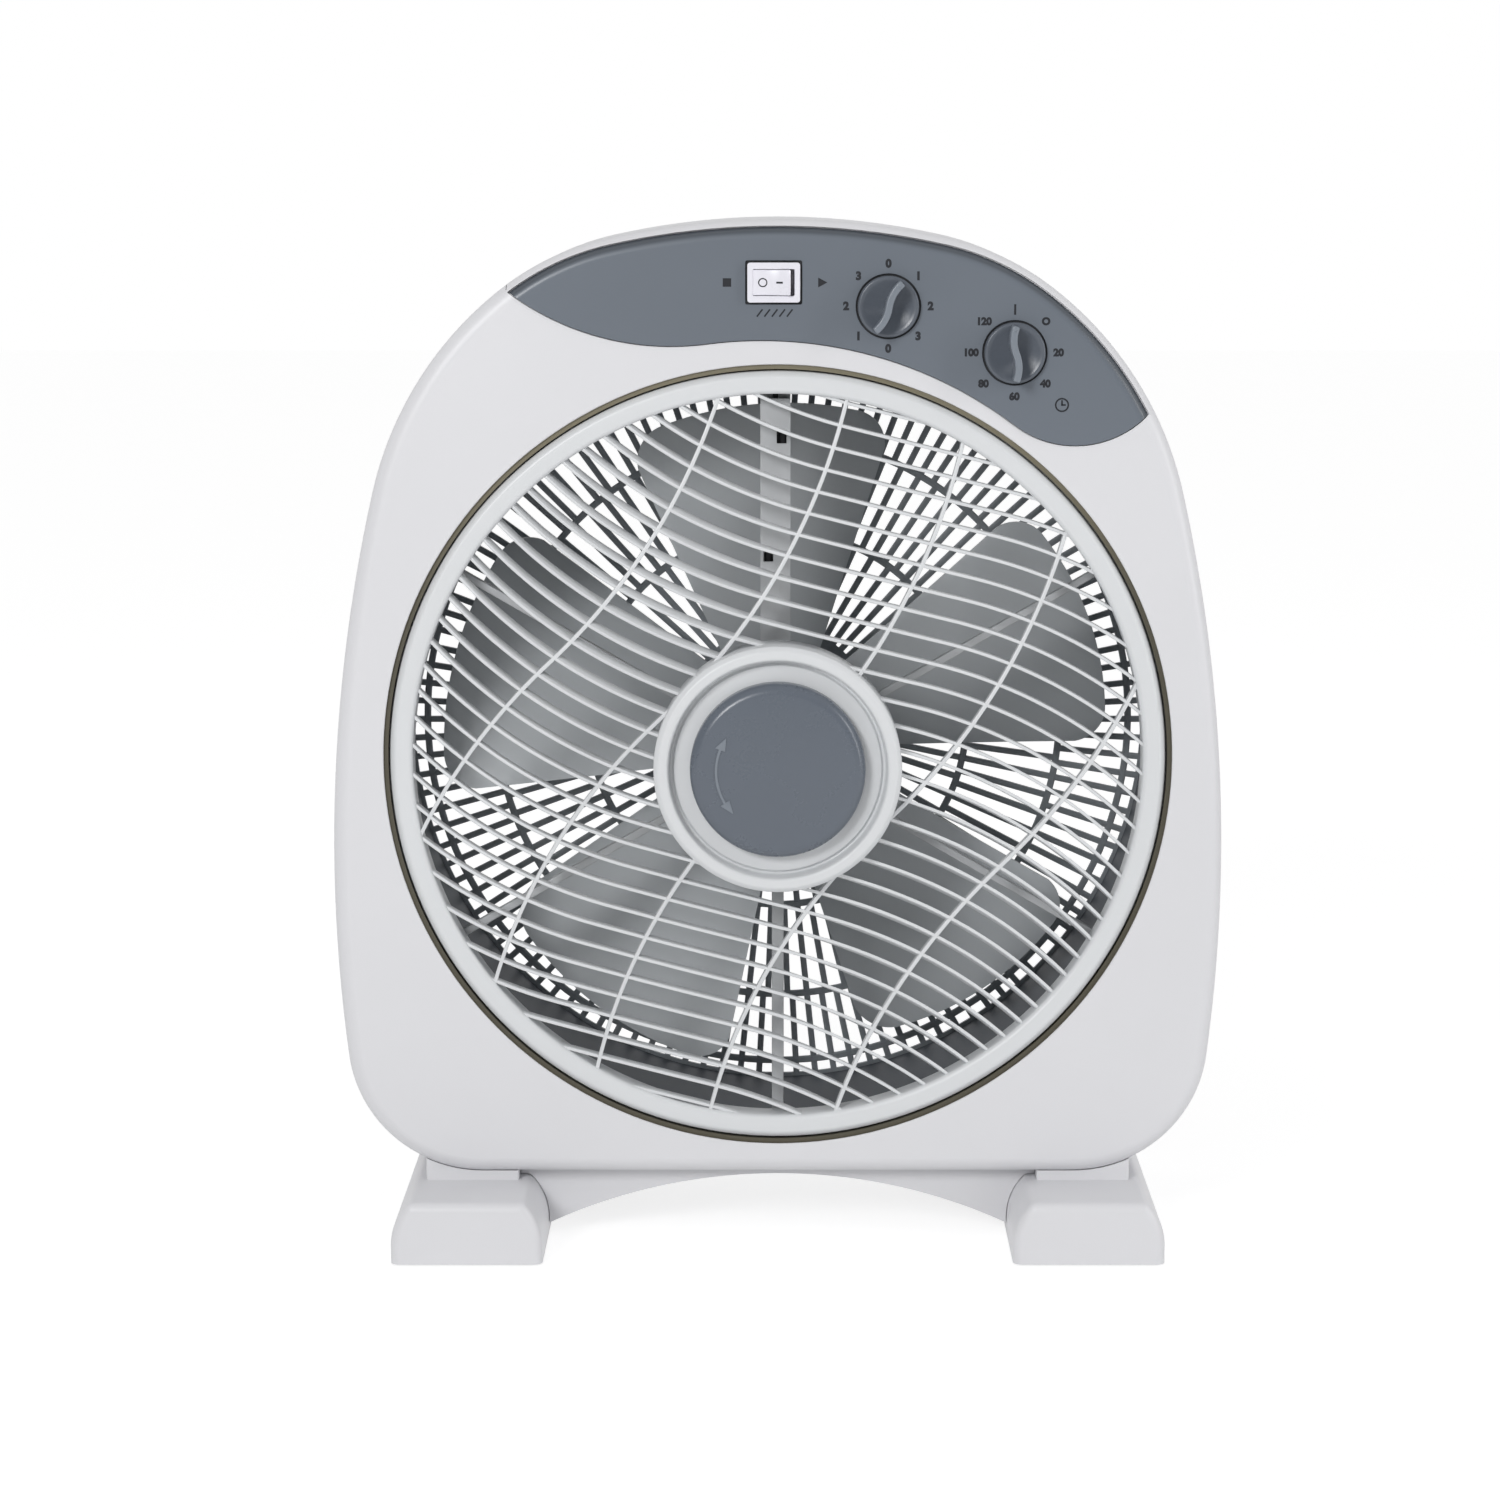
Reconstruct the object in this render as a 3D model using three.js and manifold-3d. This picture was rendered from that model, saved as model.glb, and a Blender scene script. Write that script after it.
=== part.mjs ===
// Box fan with a rotating air louver: casing, stand, drive, controls.
// Millimetres, +Z up, +Y away from the viewer, origin on the floor under the middle of the casing.
import * as THREE from 'three';
import { mergeVertices } from 'three/addons/utils/BufferGeometryUtils.js';
import Module from 'manifold-3d';

const wasm = await Module();
wasm.setup();

const rad = THREE.MathUtils.degToRad;

// ---- Fits -----------------------------------------------------------------
const gap = 0.3;              // clearance between pieces that touch
const runGap = 0.35;          // radial clearance of turning shafts
const wall = 2.6;             // moulded wall

// ---- Blades and the round opening they set
const bladeTip = 150;
const tipClearance = 20.5;    // blade tips to the tunnel
const tunnelRadius = bladeTip + tipClearance;
const openingLip = 0.7;
const openingRadius = tunnelRadius + openingLip;

// ---- Casing outline: half of it, tangent arcs from the crown to the flat underside
const crownRise = openingRadius + 61.5;     // crown above the fan axis
const crownRadius = openingRadius + 161.4;
const crownSweep = 12.5;
const shoulderRadius = openingRadius - 54;
const shoulderSweep = 24.8;
const hipRadius = openingRadius - 15.4;
const hipSweep = 39.3;
const sideRadius = openingRadius + 538.6;
const sideSweep = 20.2;
const cornerRadius = openingRadius - 112.3;
const arcStep = 7;            // turn per facet of the outline, degrees
const beyond = 2 * crownRise; // clear of the whole fan

// ---- Facets of round pieces
const bigSides = 40;
const hubSides = 28;
const midSides = 18;
const smallSides = 10;
const screwSides = 6;

// ---- Casing depth
const frontY = -62;           // front face of the casing
const casingDepth = 124;
const seamY = 4;              // joint between the two shells
const seamGap = 0.4;
const faceRounding = 7;
const rearInset = 1.2;        // rear shell stands in from the front shell
const rearTaper = 2.5;

// ---- Louver ring
const skirtDepth = 16;
const louverGap = 3.2;        // ring to the casing's opening
const ringWidth = 9.4;
const ringRadius = openingRadius - louverGap;
const ringInnerRadius = ringRadius - ringWidth;
const ringDepth = 14;

// ---- Louver pattern
const slatPitch = 17.98;      // rise from slat to slat
const slatDrift = 0.5;        // sideways step per unit of rise
const slatsEachSide = 8;
const slatSlope = 14.2;       // fall to the right at mid length, degrees
const slatStraight = 39;      // straight stretch each side of the middle
const slatBendRadius = 217;
const slatThickness = 1.8;
const slatDepth = 7;
const slatLean = 24;          // largest lean, degrees
const ribsEachSide = 2;
const ribSlope = 43;          // rise at the middle, degrees
const ribBendRadius = 272;
const ribStepX = -49;
const ribStepZ = 22;
const ribThickness = 1.9;
const ribDepth = 5.5;
const ribSink = 0.6;
const coneRise = 19.5;        // how far the slats come forward from ring to hub

// ---- Louver hub and cap
const hubRadius = 53.2;
const hubRimWidth = 6;
const hubFrontY = -90;
const hubRecess = 6.4;
const hubPlate = 2.6;
const hubSkirt = 24;
const capRadius = 36.8;
const capFrontY = -93;
const capRounding = 3;
const capFace = 4;
const louverShaftRadius = 3;
const bushRadius = 6;
const bushFlangeRadius = 9.5;
const bushFlange = 2.4;

// ---- Drive of the louver
const syncRadius = 25;
const syncDepth = 15;
const syncEarReach = 30;
const syncEarThickness = 1.6;

// ---- Motor bracket
const tunnelWall = 2.5;
const bracketPlate = 3;
const bracketCupRadius = 50;
const bracketCupDepth = 24;
const armFrontY = -44;
const armDepth = 9;
const armWidth = 3.3;
const lowerArmWidth = 5.4;
const ductWidth = 13;
const ductDepth = 6;
const ductWall = 1.5;
const ductOffsetX = -1;
const ductSlots = [[1.7, 3, 139.5], [-4.1, 3, 88.3]];     // x, width and height above the axis
const ductSlotHeight = 4;
const armAngles = [30, 150, 210, 330];
const rimFlange = 2.5;
const rimSleeve = 13;
const rimWall = 2;

// ---- Motor
const motorRadius = 43;
const stackLength = 18;
const coverDepth = 16;
const coverWall = 1.6;
const stackBore = 23;
const rotorRadius = 22.3;
const shaftRadius = 4;
const shaftTail = 44;         // shaft length behind the motor
const bearingRadius = 9;
const bearingLength = 6;
const coilRadius = 36;
const coilDepth = 9;
const throughBoltRadius = 1.8;
const throughBoltCircle = 39.2;

// ---- Impeller
const bladeCount = 5;
const bladeSweep = 48;        // angular width near the tip, degrees
const bladeStart = 93;        // direction of the first blade
const bladeRootWidth = 34;
const bladeThickness = 2;
const bladeCorner = 16;
const bladeCamber = 5;
const tipPitch = 20;
const rootPitch = 36;
const impellerHubRadius = 30;
const impellerHubDepth = 30;
const impellerHubWall = 3;
const impellerGap = 6;        // behind the motor
const bladeSetback = 3;       // middle of the blades behind the middle of the hub
const bladeRootSink = 4;      // blade carried into the hub
const bladeCornerTrim = 0.25; // corner arcs stop short by this, radians
const impellerCoreWall = 5;
const impellerEdge = 4;
const nutRadius = 13;
const nutDepth = 8;

// ---- Rear guard
const guardThickness = 2.5;
const guardSeat = 2.9;        // ledge round the tunnel's end
const guardRebate = tunnelRadius + tunnelWall + guardSeat;
const guardFlange = 7;
const guardDisc = 44;
const guardRingShares = [0.3523, 0.6966, 0.9528];       // places between disc and flange
const guardBars = [10, 15, 20, 20];
const guardBarWidth = 2.2;
const guardRingWidth = 2.4;
const guardScrews = 4;

// ---- Control panel
const panelStartX = -115.8;
const panelStartZ = crownRise - 30.1;
const panelStartHeading = -37.1;
const panelArcs = [[116.5, 44.6], [180, -44.5], [43, 85.5]];
const panelProud = 0.8;
const panelThickness = 2.8;
const panelEdgeInset = 3;
const panelRunOut = 60;       // outline carried past the casing's edge
const speedKnobX = 47.1;
const speedKnobZ = crownRise - 36.8;
const timerKnobX = 101.1;
const timerKnobZ = crownRise - 56.5;
const knobRadius = 13;
const knobBase = 4.2;
const knobGrip = 9.5;
const knobGripWidth = 6;
const knobRecess = 1;
const knobRecessMargin = 0.8;
const knobShaftRadius = 3;
const knobBoreDepth = 6;
const shaftDepth = 8;         // reach of a control's shaft into its switch
const speedKnobTurn = 30;     // clockwise from the top, degrees
const switchSide = 30;
const switchDepth = 14;
const timerRadius = 18;
const timerDepth = 26;
const capacitorSize = [38, 18, 24];
const capacitorX = -46;
const capacitorZ = crownRise - 37.3;

// ---- Rocker switch
const rockerX = -1.7;
const rockerZ = crownRise - 26.7;
const bezelWidth = 23;
const bezelHeight = 18;
const bezelThickness = 1.8;
const rockerBodyWidth = 20.4;
const rockerBodyHeight = 15;
const rockerBodyDepth = 20;
const rockerWall = 0.9;
const paddleHalf = 8.2;
const paddleHeight = 10.8;
const paddlePinRadius = 1.1;
const paddleTilt = 10;

// ---- Stand
const standHeight = 32.2;     // floor to the casing's underside
const footX = openingRadius - 36;
const footBottom = 66;
const footTop = 49;
const footHeight = 27.8;
const footShoulder = 9;
const footReach = 97;
const footEdge = 4;
const stemWidth = 41;
const stemReach = 57;
const footWall = 3;
const footScrewYs = [-30, 32];
const footBossHeight = 14;
const padThickness = 1.6;
const padRadius = 11;
const padSpan = footReach - 23;
const padSink = 0.8;
const bridgeReach = 47;
const archRadius = 240;
const archHeight = 28.1;
const bridgeWall = 2.8;
const bridgeLift = 5;         // lowest edge of the bridge above the floor

// ---- Fasteners and fittings
const bossRadius = 5;
const screwRadius = 1.5;
const screwHeadRadius = 3;
const screwHead = 2;
const screwBite = 9;
const postWall = 1.6;
const lowBossX = openingRadius - 21.2;
const lowBossRise = 41.3;     // above the underside
const highBossX = 80;
const highBossDrop = 34.9;    // below the crown
const inletX = lowBossX - 30;
const inletRise = 29.3;       // above the underside
const inletRadius = 6;
const inletBore = 3.3;
const gripWidth = 104;
const gripHeight = 24;
const gripZ = crownRise - 28.9;
const leadRadius = 1.15;

// ---- Derived places --------------------------------------------------------
const rearY = frontY + casingDepth;
const cornerSweep = 180 - crownSweep - shoulderSweep - hipSweep - sideSweep;
const seatFrontY = frontY - panelProud + panelThickness + gap;
const seatBackY = seatFrontY + wall;
const hubPlateY = hubFrontY + hubRecess;
const hubPlateBackY = hubPlateY + hubPlate;
const bushBackY = hubPlateBackY + gap + bushFlange;
const syncFrontY = hubPlateBackY + bushFlange + 3 * gap;
const syncBackY = syncFrontY + syncDepth;
const bracketPlateY = syncBackY + gap;
const bracketPlateBackY = bracketPlateY + bracketPlate;
const motorFrontY = bracketPlateBackY + gap;
const stackFrontY = motorFrontY + coverDepth + gap;
const stackBackY = stackFrontY + stackLength;
const motorBackY = stackBackY + gap + coverDepth;
const impellerFrontY = motorBackY + impellerGap;
const impellerBackY = impellerFrontY + impellerHubDepth;
const guardFrontY = rearY - guardThickness;
const ledgeY = guardFrontY - gap;
const sleeveFrontY = frontY + skirtDepth + gap;
const slatRimY = frontY + 2;
const leadY = armFrontY - gap - leadRadius - 0.5;
const leadCrossY = sleeveFrontY + rimFlange / 2;

// ---- Solids ------------------------------------------------------------------
function solidOf(geometry) {
  const bare = new THREE.BufferGeometry();
  bare.setAttribute('position', geometry.getAttribute('position'));
  if (geometry.index) {
    bare.setIndex(geometry.index);
  }
  const merged = mergeVertices(bare, 1e-3);
  const vertProperties = new Float32Array(merged.getAttribute('position').array);
  const index = Array.from(merged.index.array);
  const kept = [];
  for (let i = 0; i < index.length; i += 3) {
    const [a, b, c] = index.slice(i, i + 3);
    if (a !== b && b !== c && c !== a) {
      kept.push(a, b, c);
    }
  }
  const at = (i) => new THREE.Vector3().fromArray(vertProperties, 3 * i);
  let volume = 0;
  for (let i = 0; i < kept.length; i += 3) {
    volume += at(kept[i]).dot(at(kept[i + 1]).cross(at(kept[i + 2])));
  }
  if (volume < 0) {
    kept.reverse();
  }
  const triVerts = new Uint32Array(kept);
  return new wasm.Manifold(new wasm.Mesh({ numProp: 3, vertProperties, triVerts }));
}

function geometryOf(solid) {
  const mesh = solid.getMesh();
  const geometry = new THREE.BufferGeometry();
  geometry.setAttribute('position', new THREE.BufferAttribute(mesh.vertProperties, 3));
  geometry.setIndex(new THREE.BufferAttribute(mesh.triVerts, 1));
  geometry.computeVertexNormals();
  return geometry;
}

const joined = (solids) => solids.reduce((sum, solid) => sum.add(solid));

function block(x0, x1, y0, y1, z0, z1) {
  const geometry = new THREE.BoxGeometry(x1 - x0, y1 - y0, z1 - z0);
  geometry.translate((x0 + x1) / 2, (y0 + y1) / 2, (z0 + z1) / 2);
  return solidOf(geometry);
}

function rod(radius, y0, y1, x = 0, z = 0, sides = 24) {
  const geometry = new THREE.CylinderGeometry(radius, radius, y1 - y0, sides);
  geometry.translate(x, (y0 + y1) / 2, z);
  return solidOf(geometry);
}

function ringOf(outer, inner, y0, y1, sides = bigSides, x = 0, z = 0) {
  const hole = rod(inner, y0 - 1, y1 + 1, x, z, sides);
  return rod(outer, y0, y1, x, z, sides).subtract(hole);
}

// A turned piece: closed profile of [radius, y] pairs about the Y axis
function turned(profile, sides = 24, x = 0, z = 0) {
  const points = profile.map(([r, y]) => new THREE.Vector2(r, y));
  if (points[0].x > 0 || points[points.length - 1].x > 0) {
    points.push(points[0].clone());
  }
  const geometry = new THREE.LatheGeometry(points, sides);
  geometry.translate(x, 0, z);
  return solidOf(geometry);
}

// A prism with its outline in the XZ plane, from y0 back to y1
function prism(shape, y0, y1, curveSegments = 6) {
  const depth = y1 - y0;
  const geometry = new THREE.ExtrudeGeometry(shape, { depth, bevelEnabled: false, curveSegments });
  geometry.rotateX(Math.PI / 2);
  geometry.translate(0, y1, 0);
  return solidOf(geometry);
}

// A prism whose edges narrow over `run` at both ends
function easedPrism(shape, y0, y1, size, run, bevelSegments, curveSegments) {
  const geometry = new THREE.ExtrudeGeometry(shape, {
    depth: y1 - y0 - 2 * run,
    bevelEnabled: true,
    bevelSize: size,
    bevelThickness: run,
    bevelOffset: -size,
    bevelSegments,
    curveSegments,
  });
  geometry.rotateX(Math.PI / 2);
  geometry.translate(0, y1 - run, 0);
  return solidOf(geometry);
}

function rectangle(width, height, x = 0, z = 0, corner = 0) {
  const left = x - width / 2;
  const right = x + width / 2;
  const low = z - height / 2;
  const high = z + height / 2;
  const shape = new THREE.Shape();
  if (corner === 0) {
    shape.moveTo(left, low).lineTo(right, low).lineTo(right, high).lineTo(left, high);
    return shape;
  }
  shape.absarc(right - corner, low + corner, corner, -Math.PI / 2, 0);
  shape.absarc(right - corner, high - corner, corner, 0, Math.PI / 2);
  shape.absarc(left + corner, high - corner, corner, Math.PI / 2, Math.PI);
  shape.absarc(left + corner, low + corner, corner, Math.PI, 1.5 * Math.PI);
  return shape;
}

// ---- Casing outline
function casingArcs() {
  const sweeps = [crownSweep, shoulderSweep, hipSweep, sideSweep, cornerSweep];
  const radii = [crownRadius, shoulderRadius, hipRadius, sideRadius, cornerRadius];
  const arcs = [];
  let heading = Math.PI / 2;
  let x = 0;
  let z = crownRise - crownRadius;
  radii.forEach((radius, i) => {
    const end = heading - rad(sweeps[i]);
    arcs.push({ x, z, radius, start: heading, end });
    const shift = radius - (radii[i + 1] ?? radius);
    x += shift * Math.cos(end);
    z += shift * Math.sin(end);
    heading = end;
  });
  return arcs;
}

const undersideZ = casingArcs()[4].z - cornerRadius;
const axisZ = standHeight - undersideZ;
const inletZ = undersideZ + inletRise;
const bossPlaces = [-lowBossX, lowBossX, -highBossX, highBossX].map((x, i) => (
  [x, i < 2 ? undersideZ + lowBossRise : crownRise - highBossDrop]
));

function casingOutline(inset) {
  const right = [];
  for (const { x, z, radius, start, end } of casingArcs()) {
    const count = Math.max(Math.round((start - end) / rad(arcStep)), 1);
    for (let i = 1; i <= count; i += 1) {
      const angle = start + (end - start) * i / count;
      const reach = radius - inset;
      right.push(new THREE.Vector2(x + reach * Math.cos(angle), z + reach * Math.sin(angle)));
    }
  }
  const left = right.map((point) => new THREE.Vector2(-point.x, point.y)).reverse();
  return new THREE.Shape([...left, new THREE.Vector2(0, crownRise - inset), ...right]);
}

function casingBlank(inset, y0, y1, rounding) {
  const tail = 2 * rounding;
  const blank = easedPrism(casingOutline(inset), y0, y1 + tail, rounding, rounding, 2);
  return blank.subtract(block(-beyond, beyond, y1, y1 + tail + 1, -beyond, beyond));
}

// ---- Panel outline: the casing outline, inset, above a chain of tangent arcs
function panelOutline(grow) {
  const shape = new THREE.Shape();
  let heading = rad(panelStartHeading);
  let x = panelStartX;
  let z = panelStartZ;
  shape.moveTo(x - panelRunOut, beyond);
  shape.lineTo(x - panelRunOut, z + panelRunOut * Math.tan(-heading) - grow);
  for (const [radius, turn] of panelArcs) {
    const side = Math.sign(turn);
    const centreX = x - side * radius * Math.sin(heading);
    const centreZ = z + side * radius * Math.cos(heading);
    const next = heading + rad(turn);
    const start = heading - side * Math.PI / 2;
    const end = next - side * Math.PI / 2;
    shape.absarc(centreX, centreZ, radius + side * grow, start, end, side < 0);
    x = centreX + side * radius * Math.sin(next);
    z = centreZ - side * radius * Math.cos(next);
    heading = next;
  }
  shape.lineTo(x + panelRunOut, z + panelRunOut * Math.tan(heading));
  shape.lineTo(x + panelRunOut, beyond);
  return shape;
}

function panelZone(grow) {
  const trim = prism(casingOutline(panelEdgeInset - grow), frontY - 20, frontY + 30);
  return prism(panelOutline(grow), frontY - 20, frontY + 30, 4).intersect(trim);
}

// Front skin of the casing moved back by `setback`, `thickness` deep
function casingSkin(setback, thickness) {
  const front = casingBlank(0, frontY, 0, faceRounding).translate([0, setback, 0]);
  return front.subtract(front.translate([0, thickness, 0]));
}

const shaftHoles = () => joined([
  rod(knobShaftRadius + runGap, frontY - 5, seatBackY + 1, speedKnobX, speedKnobZ, smallSides),
  rod(knobShaftRadius + runGap, frontY - 5, seatBackY + 1, timerKnobX, timerKnobZ, smallSides),
]);

const rockerHole = () => prism(
  rectangle(rockerBodyWidth + 2 * gap, rockerBodyHeight + 2 * gap, rockerX, rockerZ),
  frontY - 5, seatBackY + 1,
);

// Bosses inside the underside that take the screws of the feet
function withFootBosses(shell, y, lift) {
  let result = shell;
  for (const x of [-footX, footX]) {
    const top = undersideZ + footBossHeight;
    result = result.add(upright(bossRadius, undersideZ + lift, top, x, y, smallSides - 2));
    result = result.subtract(upright(screwRadius + gap, undersideZ - 1, top - 1, x, y, screwSides));
  }
  return result;
}

function frontShell() {
  let shell = casingBlank(0, frontY, seamY, faceRounding);
  shell = shell.subtract(casingBlank(wall, frontY + wall, seamY + 1, faceRounding - wall));
  const seat = casingSkin(seatFrontY - frontY, wall).intersect(panelZone(gap + wall));
  const inside = prism(casingOutline(wall / 2), frontY, seamY);
  shell = shell.add(seat.intersect(inside));
  const hollow = casingSkin(-10, seatFrontY - frontY + 10).intersect(panelZone(gap));
  shell = shell.subtract(hollow);
  const skirtRadius = openingRadius + wall;
  shell = shell.add(ringOf(skirtRadius, openingRadius, frontY + 1, frontY + skirtDepth, bigSides));
  shell = shell.subtract(rod(openingRadius, frontY - 5, seamY, 0, 0, bigSides));
  for (const [x, z] of bossPlaces) {
    shell = shell.add(rod(bossRadius, frontY + wall / 2, seamY, x, z, smallSides - 4));
  }
  shell = shell.subtract(hollow);
  shell = withFootBosses(shell, footScrewYs[0], wall / 2);
  for (const [x, z] of bossPlaces) {
    shell = shell.subtract(rod(screwRadius + gap, seamY - screwBite - 1, seamY + 1, x, z, screwSides));
  }
  return shell.subtract(shaftHoles()).subtract(rockerHole());
}

function controlPanel() {
  let panel = casingSkin(-panelProud, panelThickness).intersect(panelZone(0));
  for (const [x, z] of [[speedKnobX, speedKnobZ], [timerKnobX, timerKnobZ]]) {
    const recess = frontY - panelProud + knobRecess;
    panel = panel.subtract(rod(knobRadius + knobRecessMargin, frontY - 5, recess, x, z, midSides));
  }
  return panel.subtract(shaftHoles()).subtract(rockerHole());
}

function rearShell() {
  const front = seamY + seamGap;
  const depth = rearY - front;
  const outline = casingOutline(rearInset);
  const lining = casingOutline(rearInset + wall);
  const tail = block(-beyond, beyond, front - depth - 1, front, -beyond, beyond);
  const blank = easedPrism(outline, front - depth, rearY, rearTaper, depth, 1);
  const bore = easedPrism(lining, front - depth, rearY - wall, rearTaper, depth - wall, 1);
  let shell = blank.subtract(tail).subtract(bore.subtract(tail).add(
    prism(lining, front - 1, front + gap),
  ));
  const collar = rod(guardRebate + 3, ledgeY - wall, rearY, 0, 0, bigSides);
  const trim = easedPrism(outline, front - depth, rearY, rearTaper, depth, 1);
  shell = shell.add(collar.intersect(trim));
  const sleeve = sleeveFrontY + rimFlange + gap;
  shell = shell.add(rod(tunnelRadius + tunnelWall, sleeve, ledgeY, 0, 0, bigSides));
  shell = shell.subtract(rod(tunnelRadius, sleeve - 1, rearY + 1, 0, 0, bigSides));
  shell = shell.subtract(rod(guardRebate + gap, ledgeY, rearY + 1, 0, 0, bigSides));
  for (const [x, z] of bossPlaces) {
    const post = screwHeadRadius + gap + postWall;
    shell = shell.add(rod(post, front, rearY - wall / 2, x, z, smallSides - 4));
    shell = shell.subtract(rod(screwHeadRadius + gap, front + wall, rearY + 1, x, z, smallSides - 4));
    shell = shell.subtract(rod(screwRadius + gap, front - 1, front + wall + 1, x, z, screwSides));
  }
  for (const [x, z] of guardScrewPlaces()) {
    shell = shell.subtract(rod(screwRadius, ledgeY - wall - 1, ledgeY + 1, x, z, screwSides));
  }
  shell = shell.subtract(rod(inletRadius + gap, rearY - wall - 8, rearY + 1, inletX, inletZ, smallSides));
  shell = withFootBosses(shell, footScrewYs[1], rearInset + rearTaper);
  const grip = rectangle(gripWidth, gripHeight, 0, gripZ, gripHeight / 2 - 1);
  return shell.subtract(prism(grip, rearY - wall - 1, rearY + 1, 4));
}

// ---- Rear guard
function guardScrewPlaces() {
  const places = [];
  const reach = guardRebate - screwHeadRadius;
  for (let i = 0; i < guardScrews; i += 1) {
    const angle = 2 * Math.PI * (i + 0.5) / guardScrews;
    places.push([reach * Math.cos(angle), reach * Math.sin(angle)]);
  }
  return places;
}

function ringWindow(inner, outer, from, to, segments) {
  const shape = new THREE.Shape();
  const lean = (radius) => Math.asin(guardBarWidth / 2 / radius);
  shape.absarc(0, 0, outer, from + lean(outer), to - lean(outer));
  shape.absarc(0, 0, inner, to - lean(inner), from + lean(inner), true);
  return prism(shape, guardFrontY - 1, rearY + 1, segments);
}

function rearGuard() {
  let guard = rod(guardRebate, guardFrontY, rearY, 0, 0, bigSides);
  const flange = guardRebate - guardFlange;
  const rings = guardRingShares.map((share) => THREE.MathUtils.lerp(guardDisc, flange, share));
  const edges = [guardDisc, ...rings, flange];
  const cuts = [];
  guardBars.forEach((count, zone) => {
    const inner = edges[zone] + (zone === 0 ? 0 : guardRingWidth / 2);
    const last = zone === guardBars.length - 1;
    const outer = edges[zone + 1] - (last ? 0 : guardRingWidth / 2);
    for (let i = 0; i < count; i += 1) {
      const from = 2 * Math.PI * i / count;
      const segments = zone === 0 ? 1 : 0.5;
      cuts.push(ringWindow(inner, outer, from, from + 2 * Math.PI / count, segments));
    }
  });
  guard = guard.subtract(joined(cuts));
  for (const [x, z] of guardScrewPlaces()) {
    guard = guard.subtract(rod(screwRadius + gap, guardFrontY - 1, rearY + 1, x, z, screwSides));
  }
  return guard;
}

// ---- Louver
class LaidCurve extends THREE.Curve {
  constructor(points, angles, leans) {
    super();
    this.points = points;
    this.angles = angles;
    this.leans = leans;
  }

  getPoint(t) {
    const place = t * (this.points.length - 1);
    const i = Math.min(Math.floor(place), this.points.length - 2);
    return this.points[i].clone().lerp(this.points[i + 1], place - i);
  }

  getSpacedPoints() {
    return this.points;
  }

  computeFrenetFrames() {
    const tangents = [];
    const normals = [];
    const binormals = [];
    this.angles.forEach((angle, i) => {
      const along = new THREE.Vector3(Math.cos(angle), 0, Math.sin(angle));
      const across = new THREE.Vector3(-Math.sin(angle), 0, Math.cos(angle));
      across.applyAxisAngle(along, this.leans[i]);
      tangents.push(along);
      normals.push(across);
      binormals.push(along.clone().cross(across));
    });
    return { tangents, normals, binormals };
  }
}

// Point-symmetric curve: straight for `straight` each side of the middle, then bending
function sCurve(slope, straight, bend, turn) {
  const angleAt = (s) => slope + turn * Math.max(Math.abs(s) - straight, 0) / bend;
  const pointAt = (s) => {
    const side = Math.sign(s);
    const level = Math.min(Math.abs(s), straight);
    const bent = Math.abs(s) - level;
    const end = slope + turn * bent / bend;
    const x = level * Math.cos(slope) + turn * bend * (Math.sin(end) - Math.sin(slope));
    const z = level * Math.sin(slope) - turn * bend * (Math.cos(end) - Math.cos(slope));
    return [side * x, side * z];
  };
  return { angleAt, pointAt };
}

function coneY(x, z) {
  const span = ringInnerRadius - hubRadius;
  const share = Math.min(Math.max((Math.hypot(x, z) - hubRadius) / span, 0), 1);
  return slatRimY - coneRise * (1 - share);
}

// A bar of the louver along a shifted curve, as far as the ring
function louverBar(curve, shiftX, shiftZ, thickness, depth, sink, lean, step) {
  const reach = (ringRadius + ringInnerRadius) / 2;
  const inside = [];
  const limit = Math.round(1.3 * ringRadius);
  for (let s = -limit; s <= limit; s += 1) {
    const [x, z] = curve.pointAt(s);
    if (Math.hypot(x + shiftX, z + shiftZ) < reach) {
      inside.push(s);
    }
  }
  if (inside.length < 20) {
    return null;
  }
  const first = inside[0];
  const last = inside[inside.length - 1];
  const count = Math.max(Math.round((last - first) / step), 3);
  const points = [];
  const angles = [];
  const leans = [];
  for (let i = 0; i <= count; i += 1) {
    const s = first + (last - first) * i / count;
    const [x, z] = curve.pointAt(s);
    const px = x + shiftX;
    const pz = z + shiftZ;
    points.push(new THREE.Vector3(px, coneY(px, pz) + sink, pz));
    angles.push(curve.angleAt(s));
    leans.push(lean(px / ringInnerRadius, pz / ringInnerRadius));
  }
  const section = rectangle(thickness, depth, 0, -depth / 2);
  const extrudePath = new LaidCurve(points, angles, leans);
  const bar = new THREE.ExtrudeGeometry(section, { steps: count, extrudePath, curveSegments: 1 });
  return solidOf(bar);
}

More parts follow.
